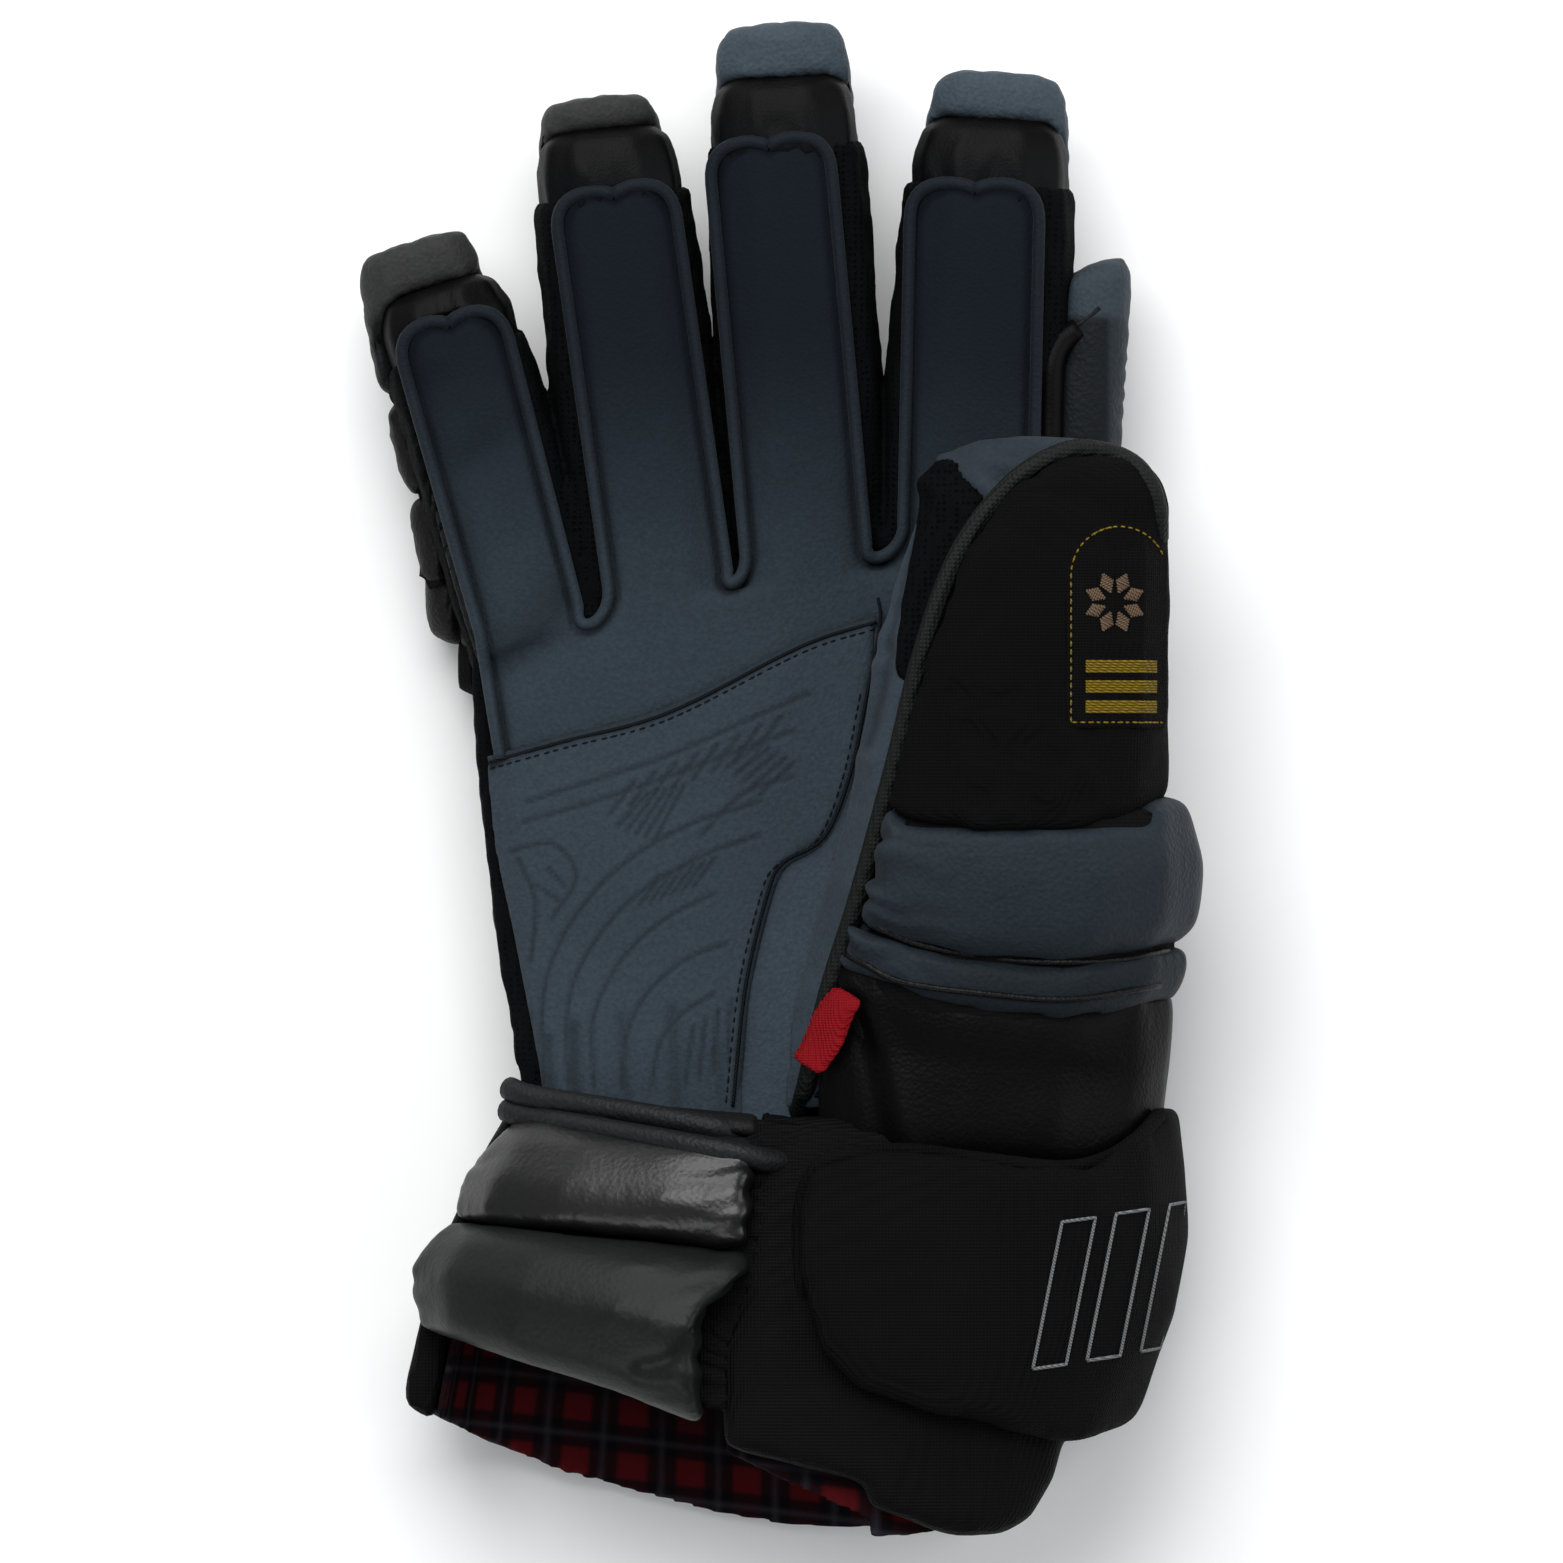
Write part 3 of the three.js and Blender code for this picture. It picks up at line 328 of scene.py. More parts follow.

# Palm heel. The second layer over the lower palm is pressed with a generic fan of flex lines and hatching.
# The press leaves grooves with raised lips, with painted shade at their bottom, and the wrist end is finely
# gathered.
PRESSED_LINES = [
    [(-62, -6), (-46, -1), (-28, 5), (-10, 13), (6, 20)],
    [(-63, -11), (-46, -6), (-28, 0), (-12, 6), (2, 11)],
    [(-58, -74), (-58, -52), (-52, -36), (-40, -22), (-24, -12), (-6, -6)],
    [(-52, -74), (-52, -54), (-46, -40), (-35, -28), (-20, -19), (-6, -14)],
    [(-46, -75), (-46, -58), (-40, -45), (-30, -35), (-17, -28)],
    [(-39, -75), (-38, -62), (-33, -52), (-24, -44), (-14, -40)],
    [(-32, -75), (-30, -64), (-25, -57), (-17, -52)],
    [(-64, -20), (-60, -30), (-61, -44)],
    [(-66, -18), (-56, -16), (-50, -24), (-56, -34)],
]
PRESSED_LINES += [[(-42 + 5 * i, -9 + 2.1 * i), (-36 + 5 * i, -1 + 2.2 * i)] for i in range(8)]
PRESSED_LINES += [[(-24 + 3.4 * i, -74 + 1.5 * i), (-22 + 3.0 * i, -60 + 2.0 * i)] for i in range(4)]
PRESSED_LINES += [[(-40 + 2.2 * i, -12 - 0.8 * i), (-33 + 2.2 * i, -4 + 0.5 * i)] for i in range(5)]
PRESSED_LINES += [[(-14 + 2.0 * i, 2 - 1.6 * i), (-6 + 2.0 * i, 8 - 1.2 * i)] for i in range(5)]
PRESSED_LINES += [[(-30 + 2.6 * i, -24 + 0.9 * i), (-35 + 2.6 * i, -31 + 0.9 * i)] for i in range(6)]
PRESSED_LINES += [[(-60, -26), (-54, -30)], [(-57, -22), (-53, -26)], [(-20, -14), (-10, -4), (2, 0)]]


def pressed(piece, lines, depth, width):
    """Grooves along lines in the upper side, with lips beside them, and the painted shade for their bottoms.
    """
    co, top = points_of(piece), normals_of(piece)[:, 2] > 0.2
    push, dark = np.zeros(len(co)), np.zeros(len(co))
    for pairs in lines:
        away, _ = from_line(co, smooth_line(pairs, 3))
        push += depth * (0.35 * bell(away - 2.2 * width, width) - bell(away, width))
        dark = np.maximum(dark, bell(away, width))
    raised(piece, np.clip(push, -depth, depth) * top)
    return dark * top


def seam_gap(co):
    """Each point's distance to the nearer of the heel layer's two seams, in mm."""
    return np.minimum(*[from_line(co, smooth_line(seam))[0] for seam in (HEEL_SEAM, THENAR_SEAM)])


soft_leather(palm_heel, [([(-66, -30), (-50, -40), (-30, -44)], 0.3, 9.0), *WRIST_GATHERS], 0.2)
# Painted shade in the pressed grooves, in the wrist gathers and beside the heel layer's two seams.
heel_dark = 0.42 * pressed(palm_heel, PRESSED_LINES, 0.4, 0.55)
co = points_of(palm_heel)
for pairs, depth, reach in WRIST_GATHERS:
    heel_dark = np.maximum(heel_dark, 0.5 * depth * bell(from_line(co, line_of(pairs))[0], reach))
shade_of(palm_heel, np.maximum(heel_dark, 0.6 * bell(seam_gap(co), 0.9)))

# Leather welts. A cord wrapped in the palm leather is sewn into the edge of every finger panel and round the
# foot of every slot between fingers. It stands about 3 mm wide, with a shadowed groove on its inner side.
LEATHER_PANELS = [
    ((-62.4, 37.7), (-81.1, 110.6), 13.4),
    ((-28.1, 47.3), (-41.5, 141.4), 14.7),
    ((5, 55), (-4.1, 153.1), 14.8),
    ((43.9, 61), (45.6, 142.6), 15.8),
]
PANEL_CORNER = 9
WELT_RADIUS = 1.5


def curved(a, control, b, count=8):
    out = []
    for i in range(count + 1):
        t = i / count
        share = ((1 - t) ** 2, 2 * t * (1 - t), t * t)
        out.append(tuple(sum(k * p for k, p in zip(share, places)) for places in zip(a, control, b)))
    return out


def panel_side(panel, side, inset=0.0):
    """Half of a finger panel's edge: from the notch at the middle of its tip down to its foot."""
    (bx, by), (tx, ty), half = panel
    ax, ay = tx - bx, ty - by
    length = math.hypot(ax, ay)
    ax, ay = ax / length, ay / length
    half -= inset

    def at(x, y, across, back):
        return (x + ay * side * across - ax * back, y - ax * side * across - ay * back)

    notch = [at(tx, ty, -0.2, 1.7 + inset), at(tx, ty, 1.6, 0.7 + inset), at(tx, ty, 4.0, 0.1 + inset)]
    corner = curved(at(tx, ty, half - PANEL_CORNER, inset), at(tx, ty, half, inset),
                    at(tx, ty, half, PANEL_CORNER + inset))
    return [*notch, *corner, at(bx, by, half, 0)]


SLOT_FEET = [37.2, 47.3, 53.5]  # how far down the hand each slot reaches


def slot_foot(a, b, low, inset=0.0):
    """A round-bottomed U from the end of one panel's side to the start of the next."""
    deep = ((a[1] + b[1]) / 2 - low + inset) / 0.75
    out = []
    for i in range(13):
        t = i / 12
        k = [(1 - t) ** 3, 3 * t * (1 - t) ** 2, 3 * t * t * (1 - t), t ** 3]
        out.append((k[0] * a[0] + k[1] * (a[0] - 0.9) + k[2] * (b[0] + 0.9) + k[3] * b[0],
                    k[0] * a[1] + k[1] * (a[1] - deep) + k[2] * (b[1] - deep) + k[3] * b[1]))
    return out


def welt_lines(inset=0.0):
    """The palm leather's edges round the fingers, from the little finger's side to the index finger's."""
    left = [(-73.4 + inset, 34), (-71.2 + inset, 20), (-68.6 + inset, 4.5)]
    lines = [[*panel_side(LEATHER_PANELS[0], -1, inset)[:-1], *left]]
    for here, following, low in zip(LEATHER_PANELS, LEATHER_PANELS[1:], SLOT_FEET):
        down = panel_side(here, 1, inset)
        up = panel_side(following, -1, inset)[::-1]
        lines.append([*down[:-1], *slot_foot(down[-1], up[0], low, inset), *up[1:]])
    lines.append([*panel_side(LEATHER_PANELS[3], 1, inset), (60.5 - inset, 30)])
    return [[spot(*p) for p in line] for line in lines]


def tree_of(*pieces):
    corners, faces, first = [], [], 0
    for piece in pieces:
        corners += [v.co.copy() for v in piece.data.vertices]
        faces += [[first + i for i in p.vertices] for p in piece.data.polygons]
        first = len(corners)
    return BVHTree.FromPolygons(corners, faces)


def spaced(line, step=1.5):
    """The same polyline with a point every step, in mm."""
    out, step = [], step * MM
    for a, b in zip(line, line[1:]):
        count = max(1, round((b - a).length / step))
        out += [a.lerp(b, i / count) for i in range(count)]
    return [*out, line[-1]]


ABOVE = 0.2  # a height in metres over the whole glove


def place_below(p, tree):
    """Where a ray from above meets the surfaces, or None."""
    return tree.ray_cast(Vector((p.x, p.y, ABOVE)), Vector((0, 0, -1)))[0]


def draped(line, tree, lift=0.0, rounds=3):
    """A line laid on the surfaces below it, evened out along its length."""
    heights = []
    for p in line:
        hit = place_below(p, tree)
        heights.append(hit.z if hit else (heights[-1] if heights else 0.05))
    for _ in range(rounds):
        heights = [(heights[max(i - 1, 0)] + 2 * h + heights[min(i + 1, len(heights) - 1)]) / 4
                   for i, h in enumerate(heights)]
    return [Vector((p.x, p.y, h + lift * MM)) for p, h in zip(line, heights)]


def tucked(run, reach, depth):
    """A run whose two ends sink by depth over reach, in mm."""
    out = []
    for p in run:
        near = min((p - run[0]).length, (p - run[-1]).length) / MM
        share = max(0.0, 1 - near / reach)
        out.append(Vector((p.x, p.y, p.z - depth * share * share * MM)))
    return out


def corded(name, lines, radius, sides=3):
    """Round cords along lines, as one mesh."""
    data = bpy.data.curves.new(name, "CURVE")
    data.dimensions, data.bevel_depth, data.bevel_resolution = "3D", radius * MM, sides
    data.use_fill_caps = True
    for line in lines:
        run = data.splines.new("POLY")
        run.points.add(len(line) - 1)
        run.points.foreach_set("co", [c for p in line for c in (*p, 1.0)])
    held = bpy.data.objects.new(name, data)
    bpy.context.scene.collection.objects.link(held)
    form = bmesh.new()
    form.from_mesh(bpy.data.meshes.new_from_object(held.evaluated_get(bpy.context.evaluated_depsgraph_get())))
    bpy.data.objects.remove(held)
    bmesh.ops.remove_doubles(form, verts=form.verts, dist=0.000001)
    return made(form, name)


welt_leather = leather_finish("rolled_synthetic_leather", "#2a343c", "#222b32", 0.7, 0.8, 0.03,
                              fade=0.85, level=0.1)

# Stretch gussets. The fingers' side walls, the walls of the slots between them and the hand's two sides are
# a black warp-knit mesh with rows of small holes, sewn to the palm leather and the padding's backing.
MESH_PITCH = 1.5


def mesh_finish(name, colour, hole):
    material, tree = finish_of(name)
    place = add(tree, "ShaderNodeTexCoord").outputs["Object"]
    cells = add(tree, "ShaderNodeTexVoronoi", {"Scale": 1000 / MESH_PITCH, "Randomness": 0.22},
                {"Vector": place})
    open_part = add(tree, "ShaderNodeMapRange",
                    {"From Min": 0.22, "From Max": 0.38, "To Min": 1.0, "To Max": 0.0},
                    {"Value": cells.outputs["Distance"]})
    yarn = add(tree, "ShaderNodeTexNoise", {"Scale": 1600.0}, {"Vector": place})
    tone = add(tree, "ShaderNodeMix", {"data_type": "RGBA", 6: tinted(colour), 7: tinted(hole)},
               {0: open_part.outputs["Result"]})
    holed = add(tree, "ShaderNodeMath", {"operation": "SUBTRACT"},
                {0: yarn.outputs["Fac"], 1: open_part.outputs["Result"]})
    surfaced(tree, tone.outputs[2], holed.outputs[0], 0.7, 0.0006, 0.85, 0.05)
    return material


stretch_mesh = mesh_finish("warp_knit_mesh", "#060708", "#020202")
gussets = []
for part in ("little_side", "little_ring", "ring_middle", "middle_index", "index_side"):
    gusset = remeshed(merged_copy(f"gusset_{part}", f"gusset_{part}_mesh"), 1.25, 8)
    widened(gusset, 0.9)
    co = points_of(gusset)
    raised(gusset, 0.5 * rough_field(co, 9, 5.5) + 0.3 * rough_field(co, 4, 1.5))
    gussets.append(worn_as(gusset, stretch_mesh, "stretch_mesh", f"gusset_{part}"))

# Fingertip caps. Thin, glossy coated leather is gathered over each fingertip, between the palm panel and the
# padding, so it puckers towards the panel's edge and shines along its folds.
cap_leather = leather_finish("coated_leather", "#080707", "#040404", 0.5, 0.7, 0.0, bump=0.1, level=0.07)


def gathered(piece, line, pitch, depth, reach, seed=0.0, lean=0.0):
    """Puckers that start at a seam and die out away from it."""
    away, along = from_line(points_of(piece), line)
    turn = (along + lean * away) / pitch + 1.3 * rough_field(points_of(piece), 11, seed)
    raised(piece, depth * np.exp(-away / reach) * np.cos(2 * math.pi * turn))


caps = []
for part, panel in zip(("little", "ring", "middle", "index"), LEATHER_PANELS):
    cap = remeshed(merged_copy(f"tip_cap_{part}", f"tip_cap_{part}_leather"), 0.9, 12)
    edge = [spot(*p) for p in [*panel_side(panel, -1)[::-1], *panel_side(panel, 1)]]
    gathered(cap, edge, 8.5, 0.35, 6.0, seed=len(caps) + 0.3, lean=0.25)
    co, out = points_of(cap), normals_of(cap)
    dent = 0.5 * rough_field(co, 14, 7.7 + len(caps))
    (bx, by), (tx, ty), half = panel
    axis = np.array([tx - bx, ty - by]) / math.hypot(tx - bx, ty - by)
    over = plan_of(co)[:, :2] @ axis
    hem = eased(over.min() + 9 - over, 0, 9)
    co += out * (dent - 0.7 * hem)[:, None] * MM
    co[:, :2] -= (4.5 * hem)[:, None] * axis * MM
    put_points(cap, co)
    shade_of(cap, 0.9 * eased(over.min() + 13 - over, 0, 13))
    caps.append(worn_as(cap, cap_leather, "glossy_cap", f"tip_cap_{part}"))

# Palm finish. The palm pieces get the shadow that the welts and seams leave on them, and the welts are laid
# along the panels' edges at the height of the leather beside them.
upper_tree = tree_of(palm_upper)
welt_runs = []
for line, inner in zip(welt_lines(0.3), welt_lines(3.4)):
    inner = spaced(inner, 1.0)
    run = spaced(line)
    beside = [min(inner, key=lambda q: (q - p).length_squared) for p in run]
    heights = [p.z for p in draped(beside, upper_tree, -0.2, 6)]
    welt_runs.append([Vector((p.x, p.y, z)) for p, z in zip(run, heights)])
co = points_of(palm_upper)
nearest = np.min([from_line(co, line)[0] for line in welt_lines(2.4)], axis=0)
groove, sunk = bell(nearest, 0.9), bell(seam_gap(co), 0.9)
co = co - normals_of(palm_upper) * (0.45 * groove * MM)[:, None]
# Outside the welts the leather is turned under.
first, *others = welt_lines(-0.8)
ring = [*first[::-1], *[p for line in others for p in line], spot(66, -60), spot(-66, -60)]
ring = np.array([p[:2] for p in ring])
inside = np.zeros(len(co), int)
for a, b in zip(ring, np.roll(ring, -1, axis=0)):
    between = (a[1] > co[:, 1]) != (b[1] > co[:, 1])
    rise = b[1] - a[1] if abs(b[1] - a[1]) > 1e-9 else 1e-9
    inside += between & (co[:, 0] < a[0] + (co[:, 1] - a[1]) * (b[0] - a[0]) / rise)
turned = inside % 2 == 0
co[:, 2] -= 2.2 * turned * MM
put_points(palm_upper, co)
dark = np.maximum(0.7 * groove, 0.4 * sunk)
# Shadow in the deepest bends: a line, how dark it is and how far it reaches in mm.
BENDS = [
    ([(-74, 29), (-65, 33), (-57, 40), (-53, 46)], 0.35, 7),
    ([(-98, 87), (-91, 91), (-84, 96)], 0.3, 4.5),
    ([(-92, 103), (-86, 107), (-80, 108)], 0.15, 4),
    ([(-88, 72), (-80, 74), (-72, 79)], 0.15, 5),
]
for pairs, strength, reach in BENDS:
    dark = np.maximum(dark, strength * bell(from_line(co, smooth_line(pairs))[0], reach))
shade_of(palm_upper, np.maximum(dark, turned))
shade_of(palm_thenar, 0.85 * np.exp(-from_line(points_of(palm_thenar), smooth_line(THENAR_SEAM))[0] / 1.5))
worn_as(palm_upper, palm_leather, "palm_leather", "palm_upper")
worn_as(palm_thenar, thenar_leather, "palm_leather", "palm_thenar")
worn_as(palm_heel, heel_leather, "palm_leather", "palm_heel")
welts = corded("finger_panel_welts", welt_runs, WELT_RADIUS)
# Painted shade along each welt's inner flank.
co = points_of(welts)
nearest = np.min([from_line(co, line)[0] for line in welt_lines(1.8)], axis=0)
shade_of(welts, 0.6 * bell(nearest, 0.8))
worn_as(welts, welt_leather, "palm_leather")

# Seam thread. Twisted polyester thread holds the heel layer down along its upper edge and beside the thumb,
# in stitches of 2.4 mm. Each stitch is a short rod that dips into the leather at both ends.
def thread_finish(name, colour, lit):
    material, tree = finish_of(name)
    place = add(tree, "ShaderNodeTexCoord").outputs["Object"]
    ply = add(tree, "ShaderNodeTexWave", {"Scale": 700.0, "Distortion": 1.5, "bands_direction": "DIAGONAL"},
              {"Vector": place})
    tone = add(tree, "ShaderNodeMix", {"data_type": "RGBA", 6: tinted(colour), 7: tinted(lit)},
               {0: ply.outputs["Fac"]})
    surfaced(tree, tone.outputs[2], ply.outputs["Fac"], 0.5, 0.0003, 0.6, 0.1)
    return material


def stitched(name, lines, tree, length, pause, radius, lift=0.1):
    """Stitches along lines, laid on the surfaces below them."""
    form = bmesh.new()
    for line in lines:
        run = draped(spaced(line, 0.5), tree, lift)
        gone = [0.0]
        for a, b in zip(run, run[1:]):
            gone.append(gone[-1] + (b - a).length)
        place = 0.0
        while place + length * MM < gone[-1]:
            start, end = [run[min(np.searchsorted(gone, stop), len(run) - 1)]
                          for stop in (place, place + length * MM)]
            way = end - start
            if way.length > 1e-6:
                rod = bmesh.ops.create_uvsphere(form, u_segments=6, v_segments=4, radius=1.0)["verts"]
                bmesh.ops.scale(form, vec=(radius * MM, radius * MM, way.length / 2), verts=rod)
                bmesh.ops.rotate(form, matrix=way.to_track_quat("Z", "Y").to_matrix(), verts=rod)
                bmesh.ops.translate(form, vec=(start + end) / 2, verts=rod)
            place += (length + pause) * MM
    return made(form, name)


navy_thread = thread_finish("navy_polyester_thread", "#05070a", "#0c1015")
palm_tree = tree_of(palm_upper, palm_thenar, palm_heel)
heel_rows = [smooth_line([(x, y - 1.6) for x, y in HEEL_SEAM]),
             smooth_line([(x - 1.8, y - 0.8) for x, y in THENAR_SEAM[1:]])]
worn_as(stitched("heel_seam_stitches", heel_rows, palm_tree, 1.7, 0.7, 0.28), navy_thread, "palm_leather")
seam_lines = [smooth_line(HEEL_SEAM), smooth_line([(22.3, 43), *THENAR_SEAM])]
seam_tree = tree_of(palm_upper, palm_thenar, palm_heel, *gussets)
seam_fill = corded("heel_seam_fill", [draped(line, seam_tree, -1.3, 16) for line in seam_lines], 1.5, 4)
# The fill is darkened a little all over: painted shade in the seam.
shade_of(seam_fill, np.full(len(seam_fill.data.vertices), 0.3))
worn_as(seam_fill, palm_leather, "palm_leather")
fill_tree = tree_of(palm_upper, palm_thenar, palm_heel, seam_fill)
thread_runs = [draped(line, fill_tree, 0.05, 5) for line in seam_lines]
worn_as(corded("heel_seam_thread", thread_runs, 0.42, 2), navy_thread, "palm_leather")

# Finger padding. Three foam blocks ride on the back of each finger in soft leather covers, the outermost
# turned up over the fingertip. Each cover is a copy of its CAD solid, swollen as sewn cloth under pressure,
# held to the solid's own size and puckered round its foot.
SIMULATED_FRAMES = 20
COVER_PRESSURE = 4.0


def joined(pieces, name):
    """Several pieces as one mesh, and where each one's points begin."""
    form, starts = bmesh.new(), [0]
    for piece in pieces:
        form.from_mesh(piece.data)
        starts.append(len(form.verts))
    return made(form, name), starts


def swollen(pieces):
    """The points of the pieces after their covers have filled out as cloth."""
    whole, starts = joined(pieces, "covers")
    cloth = whole.modifiers.new("cloth", "CLOTH")
    cloth.settings.quality = 4
    cloth.settings.mass = 0.3
    cloth.settings.tension_stiffness = cloth.settings.compression_stiffness = 15
    cloth.settings.shear_stiffness = 5
    cloth.settings.bending_stiffness = 0.3
    cloth.settings.use_pressure = True
    cloth.settings.uniform_pressure_force = COVER_PRESSURE
    cloth.settings.effector_weights.gravity = 0
    cloth.point_cache.frame_start, cloth.point_cache.frame_end = 1, SIMULATED_FRAMES
    for step in range(1, SIMULATED_FRAMES + 1):
        bpy.context.scene.frame_set(step)
    settle(whole)
    bpy.context.scene.frame_set(1)
    moved = points_of(whole)
    bpy.data.objects.remove(whole)
    return [moved[a:b] for a, b in zip(starts, starts[1:])]


def held_to(node, co, proud):
    """The points, brought back where they pass the CAD solid's surface by more than proud mm."""
    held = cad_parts[node].data
    tree = BVHTree.FromPolygons([v.co for v in held.vertices], [p.vertices for p in held.polygons])
    out = co.copy()
    for i, place in enumerate(co.tolist()):
        place = Vector(place)
        near, normal, _, away = tree.find_nearest(place)
        if (place - near).dot(normal) > 0 and away > proud * MM:
            out[i] = near + (place - near) * (proud * MM / away)
    out[:, 2] = np.maximum(out[:, 2], 0.0)
    return out


def stuffed(nodes, voxel, slack, proud, rounds=3):
    """Padded pieces, one for each CAD node, that have swollen together."""
    pieces = []
    for node in nodes:
        pieces.append(remeshed(merged_copy(node, node + "_cover"), voxel, rounds))
        raised(pieces[-1], -slack)
    grown = swollen(pieces)
    for node, piece, co in zip(nodes, pieces, grown):
        put_points(piece, co)
        calm = piece.modifiers.new("calm", "SMOOTH")
        calm.factor, calm.iterations = 0.5, 2
        settle(piece)
        raised(piece, slack + 0.3)
        put_points(piece, held_to(node, points_of(piece), proud))
        fine = piece.modifiers.new("fine", "SUBSURF")
        fine.levels = fine.render_levels = 1
        settle(piece)
    return pieces


def webbed(nodes, name, spread=1.6, back=1.6):
    """One cloth skin just under several covers, which fills the notches between them."""
    grown = []
    for node in nodes:
        grown.append(remeshed(merged_copy(node, node + "_web"), 1.5, 0))
        raised(grown[-1], spread)
    whole, _ = joined(grown, name)
    for piece in grown:
        bpy.data.objects.remove(piece)
    raised(remeshed(whole, 1.6, 3), -spread - back)
    put_points(whole, np.maximum(points_of(whole), (-np.inf, -np.inf, 0.3 * MM)))
    return whole


def puckered(piece, depth, pitch, seed):
    """Small folds down the sides of a cover, strongest where the side is steep. Returns the painted shade for
    their troughs.
    """
    co = points_of(piece)
    steep = np.clip(1 - np.abs(normals_of(piece)[:, 2]) / 0.75, 0, 1)
    low, high = co.min(axis=0), co.max(axis=0)
    aside = co - (low + high) / 2
    turn = np.arctan2(aside[:, 1], aside[:, 0])
    girth = np.linalg.norm((high - low)[:2]) / MM
    fold = np.sin(turn * girth / pitch + 2.5 * rough_field(co, 7, seed)) + rough_field(co, 3.5, seed + 4)
    raised(piece, depth * (0.6 * fold * steep + 0.7 * rough_field(co, 14, seed + 9)))
    return steep * np.clip(-fold, 0, 1)


black_leather = leather_finish("black_pigmented_leather", "#101011", "#0c0c0d", 0.6, 1.1, 0.0, 0.3)
slate_leather = leather_finish("slate_pigmented_leather", "#3c474f", "#343e46", 0.65, 1.1, 0.02, 0.3,
                               level=0.12)
charcoal_leather = leather_finish("charcoal_pigmented_leather", "#303130", "#292a29", 0.65, 1.1, 0.02, 0.3,
                                  level=0.12)
PAD_NODES = [f"pad_{finger}_{place}" for finger in ("little", "ring", "middle", "index")
             for place in ("inner", "middle", "tip")]
TIP_FINISHES = {"pad_little_tip": charcoal_leather, "pad_ring_tip": charcoal_leather,
                "pad_middle_tip": slate_leather, "pad_index_tip": slate_leather}
TIP_ENDS = {"pad_little_tip": 125, "pad_ring_tip": 160, "pad_middle_tip": 177, "pad_index_tip": 165.5}  # y
for number, (node, pad) in enumerate(zip(PAD_NODES, stuffed(PAD_NODES, 2.0, 0.8, 0.8, rounds=2))):
    dark = 0.5 * puckered(pad, 0.28, 3.2, 3.3 * number)
    if node in TIP_ENDS:
        dark = np.maximum(dark, 0.8 * eased(np.abs(plan_of(points_of(pad))[:, 1] - TIP_ENDS[node]), 10, 19))
    shade_of(pad, dark)
    slot_name = "slate_leather" if node in ("pad_middle_tip", "pad_index_tip") else "black_leather"
    worn_as(pad, TIP_FINISHES.get(node, black_leather), slot_name, node)

# Back of the hand. A roll over the knuckles and four across the back of the hand are foam in black leather,
# sewn down between them to the liner that carries all the padding.
ROLL_NODES = ["knuckle_roll", "backhand_roll_1", "backhand_roll_2", "backhand_roll_3", "backhand_roll_4"]
for number, (node, roll) in enumerate(zip(ROLL_NODES, stuffed(ROLL_NODES, 2.4, 1.0, 0.6))):
    dark = puckered(roll, 0.4, 3.4, 5.1 + 2.7 * number)
    co = points_of(roll)
    at = plan_of(co)
    outer = 1 - eased(at[:, 0], -82, -58)
    if number == 0:
        co[:, 1] += (3.0 - 12.0 * (1 - eased(at[:, 1], 42, 53))) * outer * MM
    if number == 1:
        co[:, 1] += 6.0 * outer * MM
        co[:, 0] += 7.0 * (1 - eased(at[:, 1], 16, 34)) * (1 - eased(at[:, 0], -82, -62)) * MM
    if number == 2:
        co[:, 0] += 3.0 * outer * MM
    put_points(roll, co)
    shade_of(roll, 0.5 * dark)
    worn_as(roll, black_leather, "black_leather", node)

# Liner. A tightly woven black nylon under the padding forms the back of the hand and of the fingers. Webs of
# the same cloth lie between the pads and between the rolls, so no daylight shows in their notches.
def cloth_finish(name, colour, deep, pitch, rough=0.85, level=0.05, bump=0.5):
    """Plain woven cloth with threads of the given pitch in mm."""
    material, tree = finish_of(name)
    place = add(tree, "ShaderNodeTexCoord").outputs["Object"]
    warp, weft, rise = [add(tree, "ShaderNodeTexWave", {"Scale": 314.0 / pitch, "bands_direction": axis},
                            {"Vector": place}) for axis in "XYZ"]
    mottle = add(tree, "ShaderNodeTexNoise", {"Scale": 60.0, "Detail": 4.0}, {"Vector": place})
    shade = add(tree, "ShaderNodeAttribute", {"attribute_name": "shade"})
    flat = add(tree, "ShaderNodeMath", {"operation": "MULTIPLY"},
               {0: warp.outputs["Fac"], 1: weft.outputs["Fac"]})
    weave = add(tree, "ShaderNodeMath", {"operation": "ADD"}, {0: flat.outputs[0], 1: rise.outputs["Fac"]})
    tone = add(tree, "ShaderNodeMix", {"data_type": "RGBA", 6: tinted(deep), 7: tinted(colour)},
               {0: mottle.outputs["Fac"]})
    # Painted shade where the 'shade' attribute asks for it.
    dimmed = add(tree, "ShaderNodeMix", {"data_type": "RGBA", 7: tinted("#050506")},
                 {0: shade.outputs["Fac"], 6: tone.outputs[2]})
    surfaced(tree, dimmed.outputs[2], weave.outputs[0], bump, 0.0004, rough, level)
    return material


liner_nylon = cloth_finish("black_woven_nylon", "#101011", "#0b0b0c", 0.9)
back_liner = remeshed(merged_copy("back_liner", "back_liner_cloth"), 1.6, 6)
raised(back_liner, 0.3 * rough_field(points_of(back_liner), 10, 2.2))
worn_as(back_liner, liner_nylon, "liner_fabric", "back_liner")
for finger in range(4):
    web = webbed(PAD_NODES[3 * finger : 3 * finger + 3], f"padding_web_{finger + 1}")
    worn_as(web, liner_nylon, "liner_fabric")
worn_as(webbed(ROLL_NODES, "padding_web_back"), liner_nylon, "liner_fabric")

